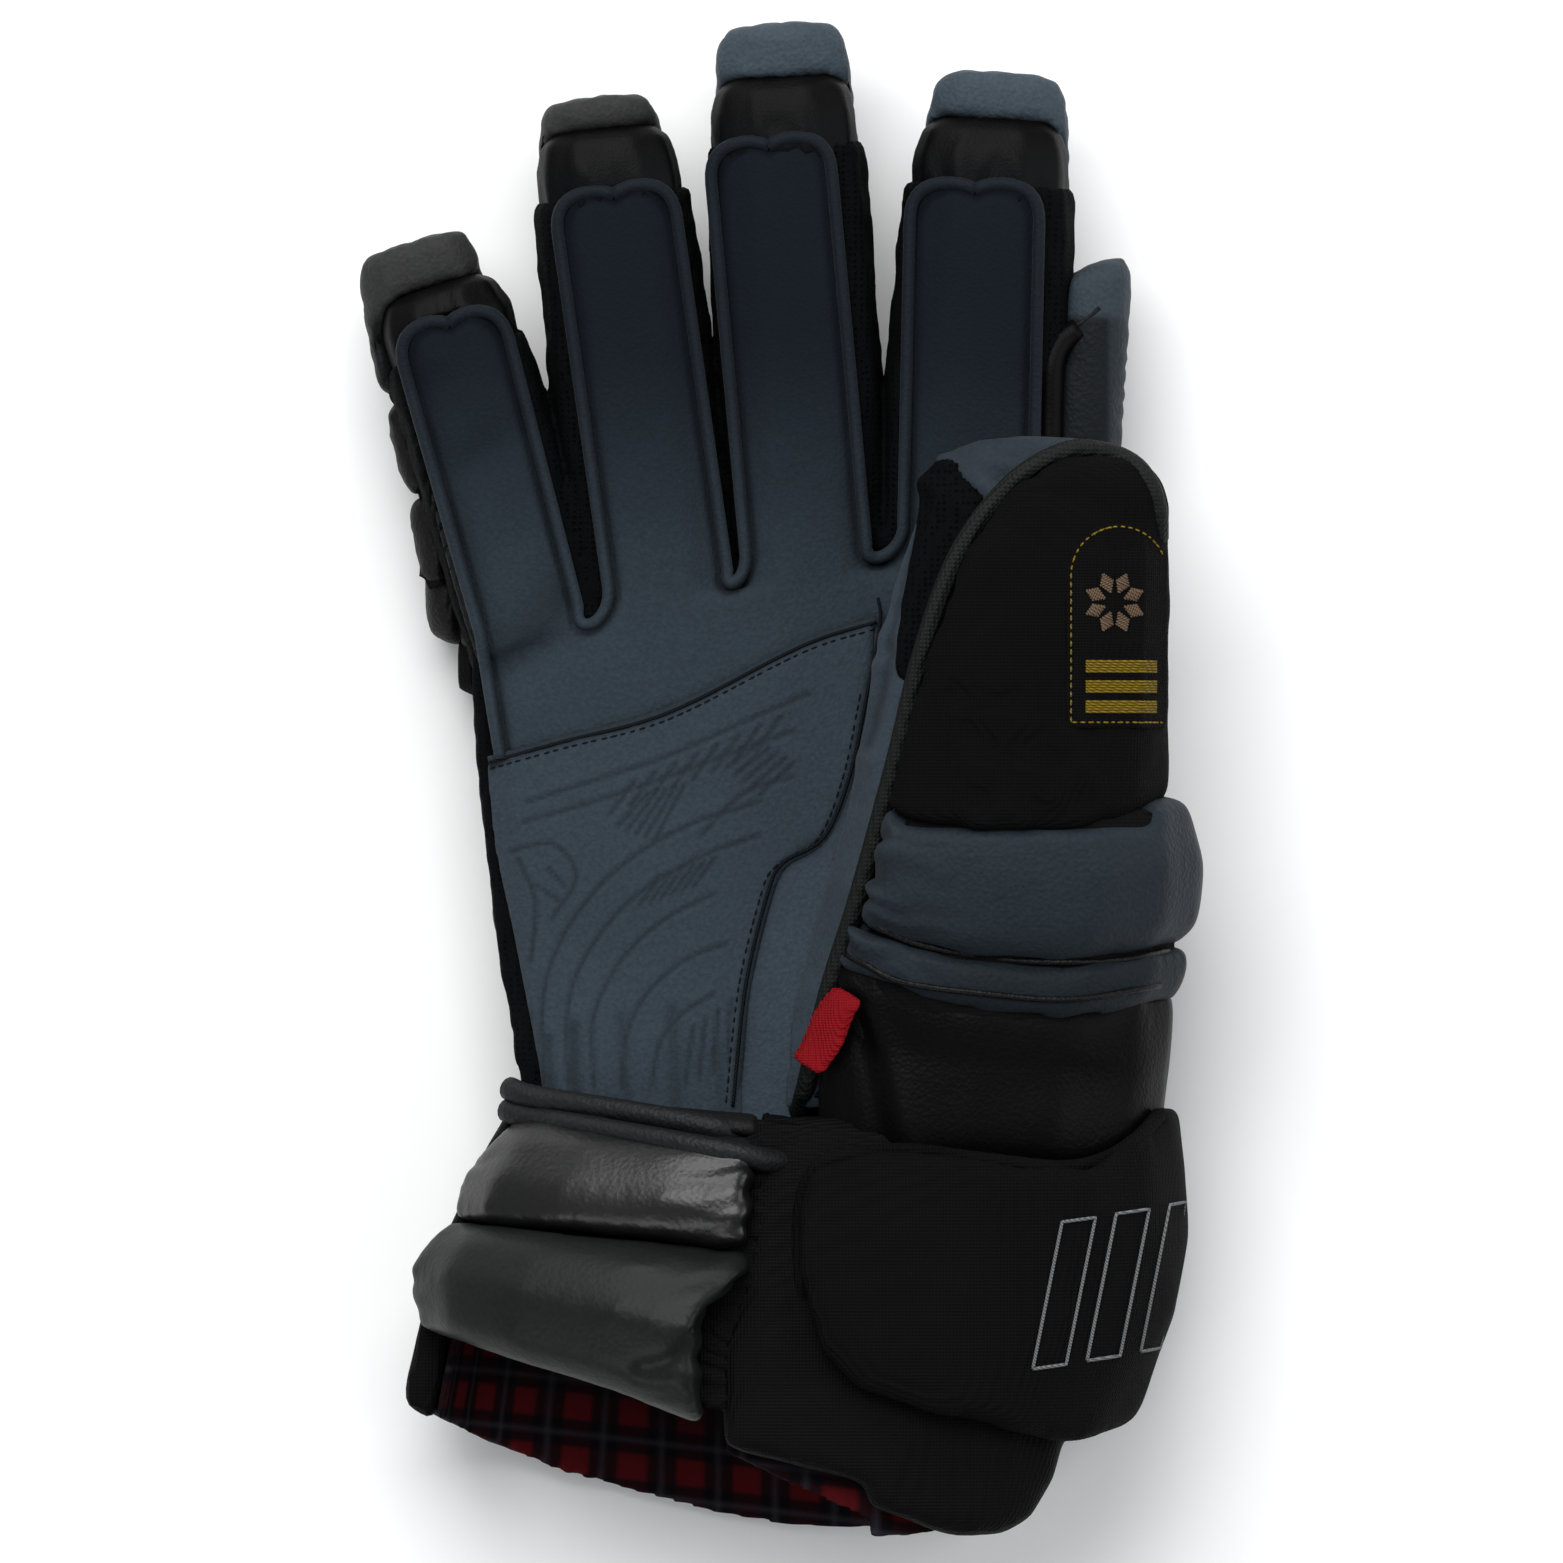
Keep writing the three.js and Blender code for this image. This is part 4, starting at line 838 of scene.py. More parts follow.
# Index side roll. A long slate pad guards the outer side of the index finger. Its top face is lit, its front
# edge is a dark strip, and a narrow shiny binding runs between it and the finger.
side_roll, = stuffed(["index_side_roll"], 2.0, 1.0, 0.8)
dark = puckered(side_roll, 0.3, 3.4, 8.8)
at = plan_of(points_of(side_roll))
front, edge = 1 - eased(at[:, 1], 109, 113), eased(at[:, 0], 77.0, 78.5)
# Painted shade in the puckers' troughs; the whole roll is a little darker, its front face darker still, less
# so at its outer edge.
shade_of(side_roll, np.maximum(0.34 + 0.2 * dark, front * (0.93 * (1 - edge) + 0.65 * edge)))
worn_as(side_roll, slate_leather, "slate_leather", "index_side_roll")
side_tree = tree_of(side_roll, *gussets, back_liner)
SIDE_STRIP = [(63.5, 78), (63.8, 92), (64.2, 100), (66.5, 104.5), (70.5, 107.5)]
strip_run = draped(smooth_line(SIDE_STRIP), side_tree, -1.6, 12)
worn_as(corded("index_side_strip", [strip_run], 3.0, 5), cap_leather, "slate_leather")
SIDE_BINDING = [(62.2, 101), (64.4, 104.6), (68, 107.2), (72.5, 110), (75.5, 112.6)]
binding_run = draped(smooth_line(SIDE_BINDING), side_tree, -0.2, 8)
worn_as(corded("index_side_binding", [binding_run], 0.6), black_leather, "slate_leather")

# Thumb leather. The palm's leather runs up the palm side of the thumb and wraps its tip in soft folds, each
# a groove with a raised lip beside it and a shadow at its bottom.
thumb_suede = leather_finish("folded_synthetic_leather", "#353f48", "#272f37", 0.75, 0.9, 0.03, level=0.12)
FOLDS = [
    ([(40, 78), (47, 74), (53, 70), (58, 69)], 1.0, 2.0),
    ([(44, 81), (52, 78), (60, 76)], 0.8, 1.8),
    ([(36, 74), (42, 71), (47, 66)], 0.9, 2.2),
    ([(24, 30), (27, 42), (30, 55), (33, 66)], 0.7, 1.8),
    ([(20, 8), (23, 20), (25, 30)], 0.5, 2.0),
]


def rounded_tip(co):
    """The thumb's outer top corner, filled out."""
    at = plan_of(co)
    near = bell(at[:, 0] - 84, 11) * bell(at[:, 1] - 70, 11)
    return co + near[:, None] * np.array([2.4, 2.6, 0.0]) * MM


def thumb_relief(co):
    """How far the thumb's skin stands out at each point in mm, and how dark its folds are."""
    push, dark = 0.5 * rough_field(co, 12, 6.1) + 0.35 * rough_field(co, 6, 2.4), np.zeros(len(co))
    for pairs, depth, reach in FOLDS:
        away, _ = from_line(co, smooth_line(pairs, 2))
        push += depth * (0.7 * bell(away - 2.2 * reach, reach) - bell(away, reach))
        dark = np.maximum(dark, 0.45 * bell(away, 0.6 * reach))
    return push, dark


thumb_leather = remeshed(merged_copy("thumb_leather", "thumb_leather_wrap"), 1.1, 10)
widened(thumb_leather, 0.8, -150)
push, dark = thumb_relief(points_of(thumb_leather))
raised(thumb_leather, push)
put_points(thumb_leather, rounded_tip(points_of(thumb_leather)))
shade_of(thumb_leather, np.maximum(dark, 0.4 * eased(plan_of(points_of(thumb_leather))[:, 1], 62, 75)))
worn_as(thumb_leather, thumb_suede, "palm_leather", "thumb_leather")

# Thumb gusset and side wall. The same mesh as in the fingers is sewn over the thumb's inner side, and woven
# nylon forms its outer and lower walls.
thumb_gusset = remeshed(merged_copy("thumb_gusset", "thumb_gusset_mesh"), 0.9, 6)
widened(thumb_gusset, 1.5, -150)
push, _ = thumb_relief(points_of(thumb_gusset))
raised(thumb_gusset, push + 0.6)
worn_as(thumb_gusset, stretch_mesh, "stretch_mesh", "thumb_gusset")
thumb_side = remeshed(merged_copy("thumb_side", "thumb_side_cloth"), 1.6, 6)
put_points(thumb_side, rounded_tip(points_of(thumb_side)))
worn_as(thumb_side, liner_nylon, "liner_fabric", "thumb_side")

# Thumb shell. The thick guard on the thumb's back is a foam block in black nylon with a fine ribbed knit,
# seamed into the piping, with faint creases where it bends.
shell_knit = cloth_finish("black_ribbed_nylon", "#0a0a0a", "#070707", 0.8, bump=0.6)
SHELL_CREASES = [
    ([(44, 12), (52, 8), (60, 9), (66, 6)], 0.9, 2.2),
    ([(46, 2), (54, 4), (63, 0), (70, 2)], 0.8, 2.0),
    ([(40, 20), (47, 17), (54, 18)], 0.5, 2.2),
    ([(60, 68), (70, 66), (80, 60)], 0.4, 2.5),
]
thumb_shell, = stuffed(["thumb_shell"], 2.6, 1.0, 1.0, rounds=4)
co = points_of(thumb_shell)
push = 0.5 * rough_field(co, 16, 4.4) + 0.2 * rough_field(co, 6, 7.1)
for pairs, depth, reach in SHELL_CREASES:
    away, _ = from_line(co, smooth_line(pairs, 2))
    push += depth * (0.6 * bell(away - 2 * reach, reach) - bell(away, reach))
raised(thumb_shell, push)
# Its lower edge bulges over the roll below.
co = points_of(thumb_shell)
at = plan_of(co)
low = 1 - eased(at[:, 1], -3.5, 16)
drop = np.interp(at[:, 0], [22, 30, 45, 62, 80, 92], [3.5, 6.5, 9.5, 10.0, 7.0, 1.5])
co[:, 1] -= low * drop * MM
co[:, 2] += low * np.clip(drop / 10, 0, 1) * 3.2 * MM * eased(at[:, 2], 66, 78)
put_points(thumb_shell, rounded_tip(co))
worn_as(thumb_shell, shell_knit, "black_leather", "thumb_shell")

# Thumb piping. A cord of about 4 mm in a charcoal braid cover is sewn all round the shell's edge, and its
# ends sink into the seams.
braid = cloth_finish("charcoal_braid", "#121313", "#0c0d0d", 1.0, rough=0.6, level=0.15)
thumb_binding = remeshed(merged_copy("thumb_binding", "thumb_piping"), 0.8, 8)
put_points(thumb_binding, rounded_tip(points_of(thumb_binding)))
worn_as(thumb_binding, braid, "black_leather", "thumb_binding")
PIPING_LINE = [(3.2, -80), (4.5, -76), (10.3, -51.4), (17.3, -29), (25.9, 2.4), (32.9, 30.7), (41.8, 54.2),
               (54, 70), (66, 77.4), (75, 77.8), (82.5, 75), (86.8, 70), (88.9, 63.5), (89.2, 57)]
thumb_tree = tree_of(thumb_binding, thumb_shell, thumb_leather, thumb_side)
piping_run = tucked(draped(smooth_line(PIPING_LINE), thumb_tree, -0.9, 10), 8, 3.0)
worn_as(corded("thumb_piping_cover", [piping_run], 2.35, 5), braid, "black_leather")

# Thumb patch. An arch of black twill is sewn to the shell with a gold thread border. It carries a plain
# embroidered figure of the common kind: a tan rosette over three gold bars.
PATCH_MIDDLE, PATCH_LOW, PATCH_HIGH, PATCH_HALF = 79.6, 11.5, 61, 13
twill = cloth_finish("black_twill", "#0e0d0d", "#090808", 0.7, bump=0.8)
thumb_patch = remeshed(merged_copy("thumb_patch", "thumb_patch_twill"), 0.55, 6)
co = points_of(thumb_patch)
co[:, 0] = np.minimum(co[:, 0], 92.3 * MM)
put_points(thumb_patch, co)
worn_as(thumb_patch, twill, "black_leather", "thumb_patch")
patch_tree = tree_of(thumb_patch, thumb_shell)


def arch_line(inset):
    half, crown = PATCH_HALF - inset, PATCH_HIGH - PATCH_HALF
    pairs = [(PATCH_MIDDLE - half, PATCH_LOW + inset), (PATCH_MIDDLE - half, crown)]
    pairs += [(PATCH_MIDDLE - half * math.cos(turn), crown + half * math.sin(turn))
              for turn in np.linspace(0.1, 2.75, 26)]
    return [spot(*p) for p in pairs]


foot_line = [spot(PATCH_MIDDLE - PATCH_HALF + 1.5, PATCH_LOW + 1.5), spot(91, PATCH_LOW + 1.5)]
gold_thread = thread_finish("gold_rayon_thread", "#554710", "#80691a")
tan_thread = thread_finish("tan_rayon_thread", "#4a3c2e", "#6a5847")
border = stitched("patch_border", [arch_line(1.4), foot_line], patch_tree, 1.5, 0.5, 0.28, 0.15)
worn_as(border, gold_thread, "black_leather")


def satin(name, shapes, tree, pitch=0.55, thread=0.3):
    """Close parallel stitches between the two edges of each shape."""
    lines = []
    for left, right in shapes:
        (ax, ay), (bx, by) = left
        (cx, cy), (dx, dy) = right
        count = max(2, int(math.hypot(bx - ax, by - ay) / pitch))
        for i in range(count + 1):
            t = i / count
            lines.append([spot(ax + (bx - ax) * t, ay + (by - ay) * t),
                          spot(cx + (dx - cx) * t, cy + (dy - cy) * t)])
    return corded(name, [draped(spaced(line, 1.0), tree, 0.2, 1) for line in lines], thread, 1)


ROSETTE_X, ROSETTE_Y = 78.4, 41.5
PETAL_CORNERS = [(2.2, 0), (5.0, 1.7), (5.0, -1.7), (7.6, 0)]  # out from the middle and across, in mm
petals = []
for i in range(8):
    turn = math.pi * i / 4 + 0.39
    c, s = math.cos(turn), math.sin(turn)
    root, left, right, tip = [(ROSETTE_X + out * c - across * s, ROSETTE_Y + out * s + across * c)
                              for out, across in PETAL_CORNERS]
    petals += [((root, left), (root, right)), ((left, tip), (right, tip))]
worn_as(satin("patch_rosette", petals, patch_tree), tan_thread, "black_leather")
bars = [(((71.5, y), (71.5, y + 2.4)), ((88.5, y), (88.5, y + 2.4))) for y in (15.5, 20.3, 25.1)]
worn_as(satin("patch_bars", bars, patch_tree), gold_thread, "black_leather")

# Thumb roll and band. Slate leather over foam wraps the thumb's root, gathered where it meets the piping. The
# narrow band below it is sewn down in the middle with a black cord on each side.
ROLL_CORDS = [
    [(17.5, -33.2), (22.1, -35.8), (32.9, -40.1), (52.5, -43.6), (77, -43.9), (91.5, -41.6)],
    [(14.5, -42.2), (19.2, -44.7), (28.1, -48.9), (45.6, -51.4), (67.2, -53), (89.5, -49.8)],
]
thumb_slate = leather_finish("slate_grained_leather", "#242c33", "#1a2127", 0.62, 1.2, 0.02, 0.3, level=0.1)


def sagging(co, floor=-57.0):
    """The wraps hang in a shallow curve across the thumb: the points below its root, moved along it."""
    at = plan_of(co)
    hang = np.interp(at[:, 0], [15, 22, 30, 42, 55, 66, 77, 84, 96],
                     [1.5, -1.5, -4.4, -5.6, -5.2, -4.6, -1.8, 0.5, 3.6])
    share = (1 - eased(at[:, 1], -30, -8)) * eased(at[:, 1], floor - 26, floor)
    out = co.copy()
    out[:, 1] += hang * share * MM
    return out


thumb_roll, thumb_band = stuffed(["thumb_roll", "thumb_band"], 2.2, 1.0, 1.2)
for piece, seed in ((thumb_roll, 1.3), (thumb_band, 4.6)):
    co = points_of(piece)
    away = np.abs(co[:, 0] / MM - (np.interp(co[:, 1] / MM, [-56, -29, 2, 20], [10, 18, 27, 32]) + 3))
    folds = np.sin(2 * math.pi * (co[:, 1] / MM / 6.5 + 0.8 * rough_field(co, 9, seed)))
    raised(piece, 0.9 * np.exp(-away / 9) * folds + 0.5 * rough_field(co, 15, seed))
    co = sagging(points_of(piece))
    at = plan_of(co)
    if piece is thumb_roll:
        under = eased(at[:, 1], -15, -9) * (1 - eased(at[:, 0], 84, 92)) * eased(at[:, 0], 24, 32)
        co[:, 2] -= 6.0 * under * MM
    left = np.interp(at[:, 1], [-57, -29, 2, 20], [11, 18.5, 27, 32])
    co[:, 0] -= 2.6 * (1 - eased(at[:, 0] - left, 2, 14)) * MM
    put_points(piece, co)
    # Painted shade in the folds' troughs; the band is also darker towards +X.
    far = 0.4 * eased(at[:, 0], 24, 46) * (piece is thumb_band)
    shade_of(piece, np.maximum(far, 0.5 * np.exp(-away / 7) * np.clip(-folds, 0, 1)))
    worn_as(piece, thumb_slate, "slate_leather", piece.name.replace("_cover", ""))
roll_tree = tree_of(thumb_roll, thumb_band)
cord_leather = leather_finish("black_cord_leather", "#0b0b0c", "#060607", 0.45, 0.8, 0.0)
cord_runs = [tucked(draped(smooth_line(line), roll_tree, 0.1), 5, 1.5) for line in ROLL_CORDS]
worn_as(corded("thumb_band_cords", cord_runs, 0.8), cord_leather, "slate_leather")

# Thumb base panel. Glossy black leather over thin foam closes the thumb's root, with one soft diagonal fold.
# Its foot is drawn down to the cuff pad.
gloss_leather = leather_finish("glossy_black_leather", "#060606", "#040404", 0.45, 1.0, 0.0, 0.15, level=0.06)
base_panel, = stuffed(["thumb_base_panel"], 2.2, 1.0, 1.0)
co, top = points_of(base_panel), normals_of(base_panel)[:, 2] > 0
fold, _ = from_line(co, smooth_line([(8, -56), (16, -62), (22, -72), (24, -84)], 2))
ridge, _ = from_line(co, smooth_line([(16, -56), (23, -62), (29, -72), (31, -84)], 2))
raised(base_panel, 1.1 * bell(ridge, 3.5) - 1.2 * bell(fold, 3.0) + 0.4 * rough_field(co, 13, 8.2))
co = sagging(points_of(base_panel), -70.0)
under = eased(plan_of(co)[:, 1] + 0.02 * plan_of(co)[:, 0], -70, -58)
co[:, 1] += 4.0 * under * MM
co[:, 2] -= 0.8 * under * MM
at = plan_of(co)
foot = 1 - eased(at[:, 1] + 0.115 * (at[:, 0] - 10), -76, -62)
co[:, 1] -= foot * np.interp(at[:, 0], [5, 20, 50, 80, 92], [11, 10, 8.5, 7.5, 5.0]) * MM
co[:, 2] += foot * np.interp(at[:, 0], [5, 30, 60, 92], [0.5, 2.5, 4.0, 3.0]) * MM * top
put_points(base_panel, co)
worn_as(base_panel, gloss_leather, "glossy_cap", "thumb_base_panel")

# Thumb web. A nylon skin under the covers of the roll, the band and the base panel closes the notches between
# them.
wrap_web = webbed(["thumb_roll", "thumb_band", "thumb_base_panel"], "thumb_wrap_web", 2.0, 2.2)
put_points(wrap_web, sagging(points_of(wrap_web)))
worn_as(wrap_web, liner_nylon, "liner_fabric")

# Seam tag. A short loop of red ribbon is folded over the piping and caught in its seam. It carries no mark,
# and it is slightly bent and rippled.
ribbon = cloth_finish("red_woven_ribbon", "#880b15", "#6c0810", 0.6, rough=0.7, level=0.1, bump=0.6)
seam_tag = remeshed(merged_copy("seam_tag", "seam_tag_ribbon"), 0.6, 9)
co, out = points_of(seam_tag), normals_of(seam_tag)
co[:, :2] += out[:, :2] * 1.1 * MM
middle = (co.max(axis=0) + co.min(axis=0)) / 2
lean = (co[:, 1] - middle[1]) / MM
co[:, 0] += 0.03 * lean * np.abs(lean) * MM
co[:, 2] += (0.8 + 0.35 * np.sin((co[:, 0] - middle[0]) / MM * 0.7)) * MM
put_points(seam_tag, co)
worn_as(seam_tag, ribbon, "red_tag", "seam_tag")

# Wrist binding. A band in black leather covers the seam between hand and cuff. The palm pieces run under it,
# and the two wrist cords lie along it.
wrist_binding = remeshed(merged_copy("wrist_binding", "wrist_binding_band"), 0.9, 6)
worn_as(wrist_binding, black_leather, "liner_fabric", "wrist_binding")

# Cuff body. Foam boards in black nylon make the back and the thumb side of the flared cuff. They are stiff,
# so they wave only a little.
cuff_nylon = cloth_finish("black_cuff_nylon", "#0a0a0a", "#060606", 0.8, rough=0.6, level=0.05)
cuff_back = remeshed(merged_copy("cuff_back", "cuff_back_cover"), 2.4, 6)
cuff_side = remeshed(merged_copy("cuff_side", "cuff_side_cover"), 1.8, 16)
raised(cuff_side, 0.8)


def collared(co):
    """The cuff's flared corner beside the thumb stands up past the base panel."""
    at = plan_of(co)
    share = eased(at[:, 0], 70, 88) * eased(at[:, 1], -112, -94)
    out = co.copy()
    out[:, 1] += 9.0 * share * MM
    out[:, 0] -= 3.0 * share * MM
    return out


co = collared(points_of(cuff_side))
at = plan_of(co)
co[:, 1] += 6.0 * (1 - eased(at[:, 0], 18, 42)) * (1 - eased(at[:, 1], -178, -156)) * MM
put_points(cuff_side, co)
for piece, seed in ((cuff_back, 3.2), (cuff_side, 6.7)):
    co = points_of(piece)
    raised(piece, 0.7 * rough_field(co, 22, seed) + 0.3 * rough_field(co, 8, seed))
    put_points(piece, np.maximum(points_of(piece), (-np.inf, -np.inf, 0.0)))
    worn_as(piece, cuff_nylon, "liner_fabric", piece.name.replace("_cover", ""))

# Cuff pad. A rounded shield of foam in black knit covers the cuff's thumb side, with a corded lip along its
# upper edge. A common sports trim is embroidered on it in outline: three slanted bars.
knit = cloth_finish("black_textured_knit", "#0b0b0b", "#070707", 0.8, rough=0.8, level=0.06, bump=0.7)
cuff_pad, = stuffed(["cuff_side_pad"], 2.4, 1.2, 1.2)
raised(cuff_pad, 0.5 * rough_field(points_of(cuff_pad), 16, 3.9))
put_points(cuff_pad, collared(points_of(cuff_pad)))
worn_as(cuff_pad, knit, "knit_facing", "cuff_side_pad")
pad_tree = tree_of(cuff_pad)
LIP = [(4.6, -128), (3.4, -112), (4.6, -99), (9, -92), (18, -89.8), (30, -89.2), (48, -91.3), (66, -93.2),
       (76, -91.4), (84, -86.6), (89.5, -81)]
lip_run = tucked(draped(smooth_line(LIP), tree_of(cuff_pad, cuff_side, base_panel), -0.8, 14), 8, 2.5)
worn_as(corded("cuff_pad_lip", [lip_run], 1.9, 4), knit, "knit_facing")
silver_thread = thread_finish("silver_rayon_thread", "#4c4d4e", "#767778")
BARS = [(62, 0), (75, 1.8), (88, 3.6)]
BAR_FOOT, BAR_HEAD = -141, -106
outlines = []
for x, lift in BARS:
    low, high = BAR_FOOT + lift, BAR_HEAD + lift
    outlines.append([spot(x - 3, low), spot(x + 5, low + 1), spot(x + 12, high + 1), spot(x + 4, high),
                     spot(x - 3, low)])
runs = [draped(spaced(line, 1.0), pad_tree, 0.25, 1) for line in outlines]
runs = [[p for p in run if place_below(p, pad_tree)] for run in runs]
worn_as(corded("cuff_pad_trim", [run for run in runs if len(run) > 3], 0.42, 2), silver_thread, "knit_facing")

# Wrist rolls. Two foam rolls in glossy synthetic leather close the palm side of the cuff. They are stuffed
# full, with puckers where their covers are sewn at the ends.
# The lower roll's grey base is partly its own colour and partly a painted reflection of the light above.
roll_gloss = leather_finish("glossy_dark_leather", "#131313", "#0e0e0e", 0.36, 1.3, 0.0, 0.1, level=0.42)
roll_grey_and_reflection = leather_finish("grey_synthetic_leather", "#1a1b1b", "#151616", 0.45, 1.3, 0.0, 0.1, level=0.15)
upper_roll, lower_roll = stuffed(["wrist_roll_upper", "wrist_roll_lower"], 2.2, 1.2, 1.4)
for piece, seed, skin in ((upper_roll, 2.9, roll_gloss), (lower_roll, 7.3, roll_grey_and_reflection)):
    co = points_of(piece)
    x = co[:, 0] / MM
    ends = 0.5 * np.exp(-(x - x.min()) / 6) + np.exp(-(x.max() - x) / 7)
    folds = np.sin(2 * math.pi * (co[:, 1] / MM / 9 + 0.7 * rough_field(co, 12, seed)))
    raised(piece, 0.7 * ends * folds + 0.5 * rough_field(co, 24, seed))
    # Painted shade in the puckers' troughs near the roll ends.
    shade_of(piece, 0.4 * ends * np.clip(-folds, 0, 1))
    if piece is lower_roll:
        co = points_of(piece)
        at = plan_of(co)
        end = np.interp(at[:, 1], [-156, -150, -140, -131, -126, -122, -118], [4.5, 5.5, 6.5, 7, 6, 2, -1.8])
        co[:, 0] -= eased(at[:, 0], -42, -12) * end * MM
        away, _ = from_line(co, smooth_line([(-16, -128), (-21, -133), (-27, -139), (-34, -141)]))
        put_points(piece, co - normals_of(piece) * 1.3 * bell(away, 2.4)[:, None] * MM)
    worn_as(piece, skin, "glossy_cap", piece.name.replace("_cover", ""))

# Wrist cords. Two thick cords in matt black leather lie across the palm side of the seam between hand and
# cuff, and their ends sink into it.
binding_tree = tree_of(wrist_binding, palm_heel, palm_thenar, upper_roll)
cords = [[(-66.2, -74.8), (-60, -76.8), (-35, -80.6), (-14, -84.4), (-3, -87), (3, -88.4)],
         [(-66.8, -80.0), (-60, -81.8), (-35, -85.8), (-14, -89.4), (-5, -91.4), (1, -92.6)]]
cord_runs = [tucked(draped(smooth_line(line), binding_tree, -0.6, 16), 9, 6.0) for line in cords]
cord_cover = leather_finish("matt_black_leather", "#17181a", "#121314", 0.55, 1.1, 0.0, 0.3, level=0.2)
worn_as(corded("wrist_binding_rolls", cord_runs, 2.9, 5), cord_cover, "liner_fabric")

# Cuff lining. Brushed cotton in a red and black tartan lines the cuff and shows inside its mouth. The checks
# follow the cloth: one way round the cuff, the other along it.
def tartan_finish():
    material, tree = finish_of("red_tartan_flannel")
    place = add(tree, "ShaderNodeAttribute", {"attribute_name": "cloth_place"})
    split = add(tree, "ShaderNodeSeparateXYZ", links={"Vector": place.outputs["Vector"]})

    def band(source, low, high, repeat):
        wrapped = add(tree, "ShaderNodeMath", {"operation": "WRAP", 1: repeat, 2: 0.0}, {0: source})
        over = add(tree, "ShaderNodeMapRange", {"From Min": low, "From Max": low + 1.1},
                   {"Value": wrapped.outputs[0]})
        under = add(tree, "ShaderNodeMapRange",
                    {"From Min": high - 1.1, "From Max": high, "To Min": 1.0, "To Max": 0.0},
                    {"Value": wrapped.outputs[0]})
        return add(tree, "ShaderNodeMath", {"operation": "MULTIPLY"},
                   {0: over.outputs[0], 1: under.outputs[0]}).outputs[0]

    colour = None
    sides = [split.outputs["X"], split.outputs["Y"]]
    base = tinted("#551216")
    for source in sides:
        dark = add(tree, "ShaderNodeMath", {"operation": "MULTIPLY", 1: 0.86},
                   {0: band(source, 0.0, 7.8, 13.0)})
        settings = {"data_type": "RGBA", 7: tinted("#0a0b0f")}
        if colour is None:
            mixed = add(tree, "ShaderNodeMix", {**settings, 6: base}, {0: dark.outputs[0]})
        else:
            mixed = add(tree, "ShaderNodeMix", settings, {0: dark.outputs[0], 6: colour})
        colour = mixed.outputs[2]
    for source in sides:
        line = add(tree, "ShaderNodeMath", {"operation": "MULTIPLY", 1: 0.16},
                   {0: band(source, 2.6, 5.0, 13.0)})
        mixed = add(tree, "ShaderNodeMix", {"data_type": "RGBA", 7: tinted("#5a5c66")},
                    {0: line.outputs[0], 6: colour})
        colour = mixed.outputs[2]
    twill = add(tree, "ShaderNodeTexWave", {"Scale": 1.4, "bands_direction": "DIAGONAL"},
                {"Vector": place.outputs["Vector"]})
    fleck = add(tree, "ShaderNodeMapRange", {"To Min": 0.75, "To Max": 1.1}, {"Value": twill.outputs["Fac"]})
    colour = add(tree, "ShaderNodeMix", {"data_type": "RGBA", "blend_type": "MULTIPLY", 0: 1.0},
                 {6: colour, 7: fleck.outputs["Result"]}).outputs[2]
    # Painted shade where the 'shade' attribute asks for it.
    shade = add(tree, "ShaderNodeAttribute", {"attribute_name": "shade"})
    colour = add(tree, "ShaderNodeMix", {"data_type": "RGBA", 7: tinted("#07060a")},
                 {0: shade.outputs["Fac"], 6: colour}).outputs[2]
    surfaced(tree, colour, twill.outputs["Fac"], 0.4, 0.0004, 0.9, 0.05)
    return material


cuff_lining = remeshed(merged_copy("cuff_lining", "cuff_lining_flannel"), 1.15, 4)
raised(cuff_lining, 0.3 * rough_field(points_of(cuff_lining), 12, 5.5))
co = points_of(cuff_lining)
hem = eased(-plan_of(co)[:, 1], 140, 176)
across = plan_of(co)[:, 0]
co[:, 1] -= (2.2 + 1.0 * eased(across, -25, 15) - 2.4 * eased(across, 28, 46)) * hem * MM
co[:, 2] -= 1.0 * hem * (co[:, 2] < 0.03) * MM
put_points(cuff_lining, co)
co = points_of(cuff_lining) / MM
turn = np.arctan2(co[:, 2] - 38, (co[:, 0] + 12) * 0.48)
girth = turn * 62
placed = cuff_lining.data.attributes.new("cloth_place", "FLOAT_VECTOR", "POINT")
spread = np.stack([girth, co[:, 1] + 0.12 * co[:, 0], np.zeros(len(co))], axis=1)
placed.data.foreach_set("vector", spread.astype(np.float32).ravel())
# Painted shade: darker with depth inside the cuff's mouth, away from its rim, and made patchy by noise.
at = plan_of(points_of(cuff_lining))
rim = np.interp(at[:, 0], [-92, -60, -30, 0, 25], [-139, -154, -165, -173, -179])
patchy = rough_field(points_of(cuff_lining), 13, 3.0)
shade_of(cuff_lining, (0.15 + 0.72 * eased(at[:, 1] - rim, 1, 20)) * (1 + 0.5 * patchy))
worn_as(cuff_lining, tartan_finish(), "plaid_lining", "cuff_lining")

# Vertical joint. A strip of black elastic, gathered on its stitching, joins the rolls' ends to the cuff's
# side. It lies just under the rolls' tops and runs under the pad's edge.
JOINT_LINE = [(0.5, -83), (-0.5, -90), (-2.5, -100), (-6.5, -112), (-11, -122), (-14.5, -132), (-16.5, -142),
              (-18.5, -150)]
JOINT_HALF = 9
middle = smooth_line(JOINT_LINE, 1.0)
form = bmesh.new()
bmesh.ops.create_grid(form, x_segments=2 * JOINT_HALF, y_segments=len(middle) - 1, size=1.0)
for corner in form.verts:
    i = round((corner.co.y + 1) / 2 * (len(middle) - 1))
    ahead = (middle[min(i + 1, len(middle) - 1)] - middle[max(i - 1, 0)]).normalized()
    corner.co = middle[i] + Vector((ahead.y, -ahead.x, 0)) * corner.co.x * JOINT_HALF * MM
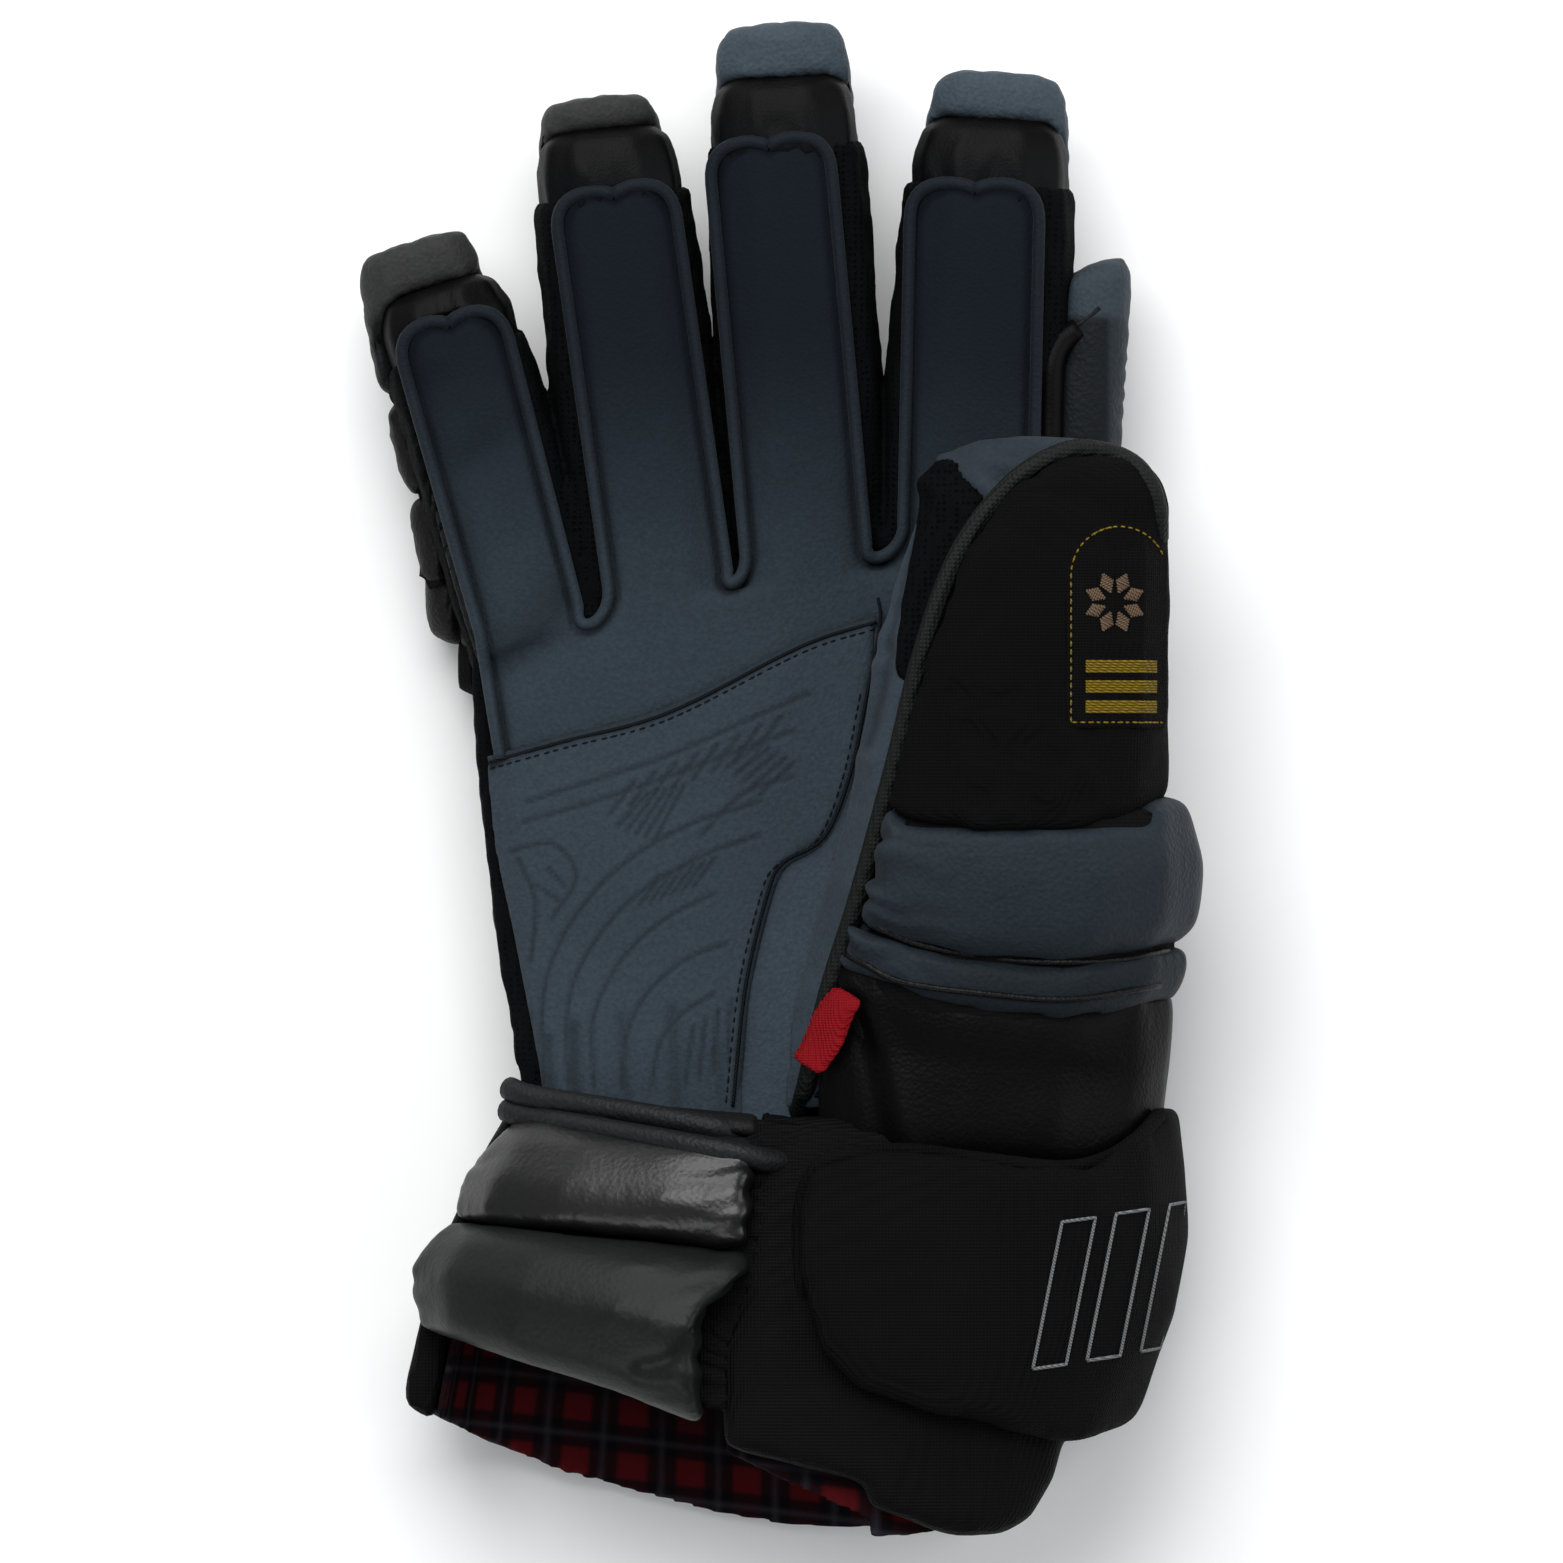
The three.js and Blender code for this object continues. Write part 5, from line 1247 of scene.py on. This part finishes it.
bmesh.ops.recalc_face_normals(form, faces=form.faces)
joint = made(form, "cuff_joint")
co = points_of(joint)
away, along = from_line(co, middle)
height = np.interp(plan_of(co)[:, 1], [-165, -150, -135, -120, -105, -92, -82], [76, 77, 77, 76, 74, 71, 67])
gather = np.sin(2 * math.pi * (along / 4.2 + 0.6 * rough_field(co, 8, 2.2)))
co[:, 2] = (height - 0.02 * away ** 2 + 0.35 * gather + 0.5 * rough_field(co, 7, 4.1)) * MM
put_points(joint, co)
thick = joint.modifiers.new("thick", "SOLIDIFY")
thick.thickness, thick.offset = 2.0 * MM, 0.0
settle(joint)
worn_as(joint, cuff_nylon, "liner_fabric")

# Floor, light and camera. A pale matt table under a broad soft light from above and from the fingers' side,
# with the camera straight above the palm, as the glove lies on its back.
floor_paper, tree = finish_of("pale_paper")
body = add(tree, "ShaderNodeBsdfPrincipled", {"Base Color": tinted("#fafafa"), "Roughness": 0.95})
add(tree, "ShaderNodeOutputMaterial", links={"Surface": body.outputs["BSDF"]})
form = bmesh.new()
bmesh.ops.create_grid(form, x_segments=2, y_segments=2, size=4.0)
floor = made(form, "floor")
floor.data.materials.append(floor_paper)

sky = bpy.data.worlds.new("pale_room")
sky.use_nodes = True
sky.node_tree.nodes["Background"].inputs["Color"].default_value = (0.95, 0.97, 1.0, 1.0)
sky.node_tree.nodes["Background"].inputs["Strength"].default_value = 0.3
bpy.context.scene.world = sky
bpy.context.scene.view_settings.view_transform = "Standard"


def soft_light(name, place, aim, size, power):
    data = bpy.data.lights.new(name, "AREA")
    data.shape, data.size, data.size_y, data.energy = "RECTANGLE", size[0], size[1], power
    lamp = bpy.data.objects.new(name, data)
    lamp.location = place
    lamp.rotation_mode = "QUATERNION"
    lamp.rotation_quaternion = (Vector(aim) - Vector(place)).to_track_quat("-Z", "Y")
    bpy.context.scene.collection.objects.link(lamp)


soft_light("overhead", (-0.2, 0.75, 1.5), (0, 0, 0), (1.2, 0.8), 20)
soft_light("finger_side", (-0.25, 1.15, 0.75), (0, 0, 0.03), (0.9, 0.5), 8)
soft_light("thumb_side", (1.1, 0.1, 0.8), (0, 0, 0.03), (0.8, 1.0), 6)
soft_light("cuff_side_fill", (-0.6, -1.0, 0.8), (0, 0, 0.03), (0.8, 0.6), 4)

eye = bpy.data.cameras.new("camera")
eye.lens, eye.clip_start, eye.clip_end = 479.8, 0.1, 30.0
camera = bpy.data.objects.new("camera", eye)
camera.location = (0.00037, -0.001637, 5.045)
bpy.context.scene.collection.objects.link(camera)
bpy.context.scene.camera = camera
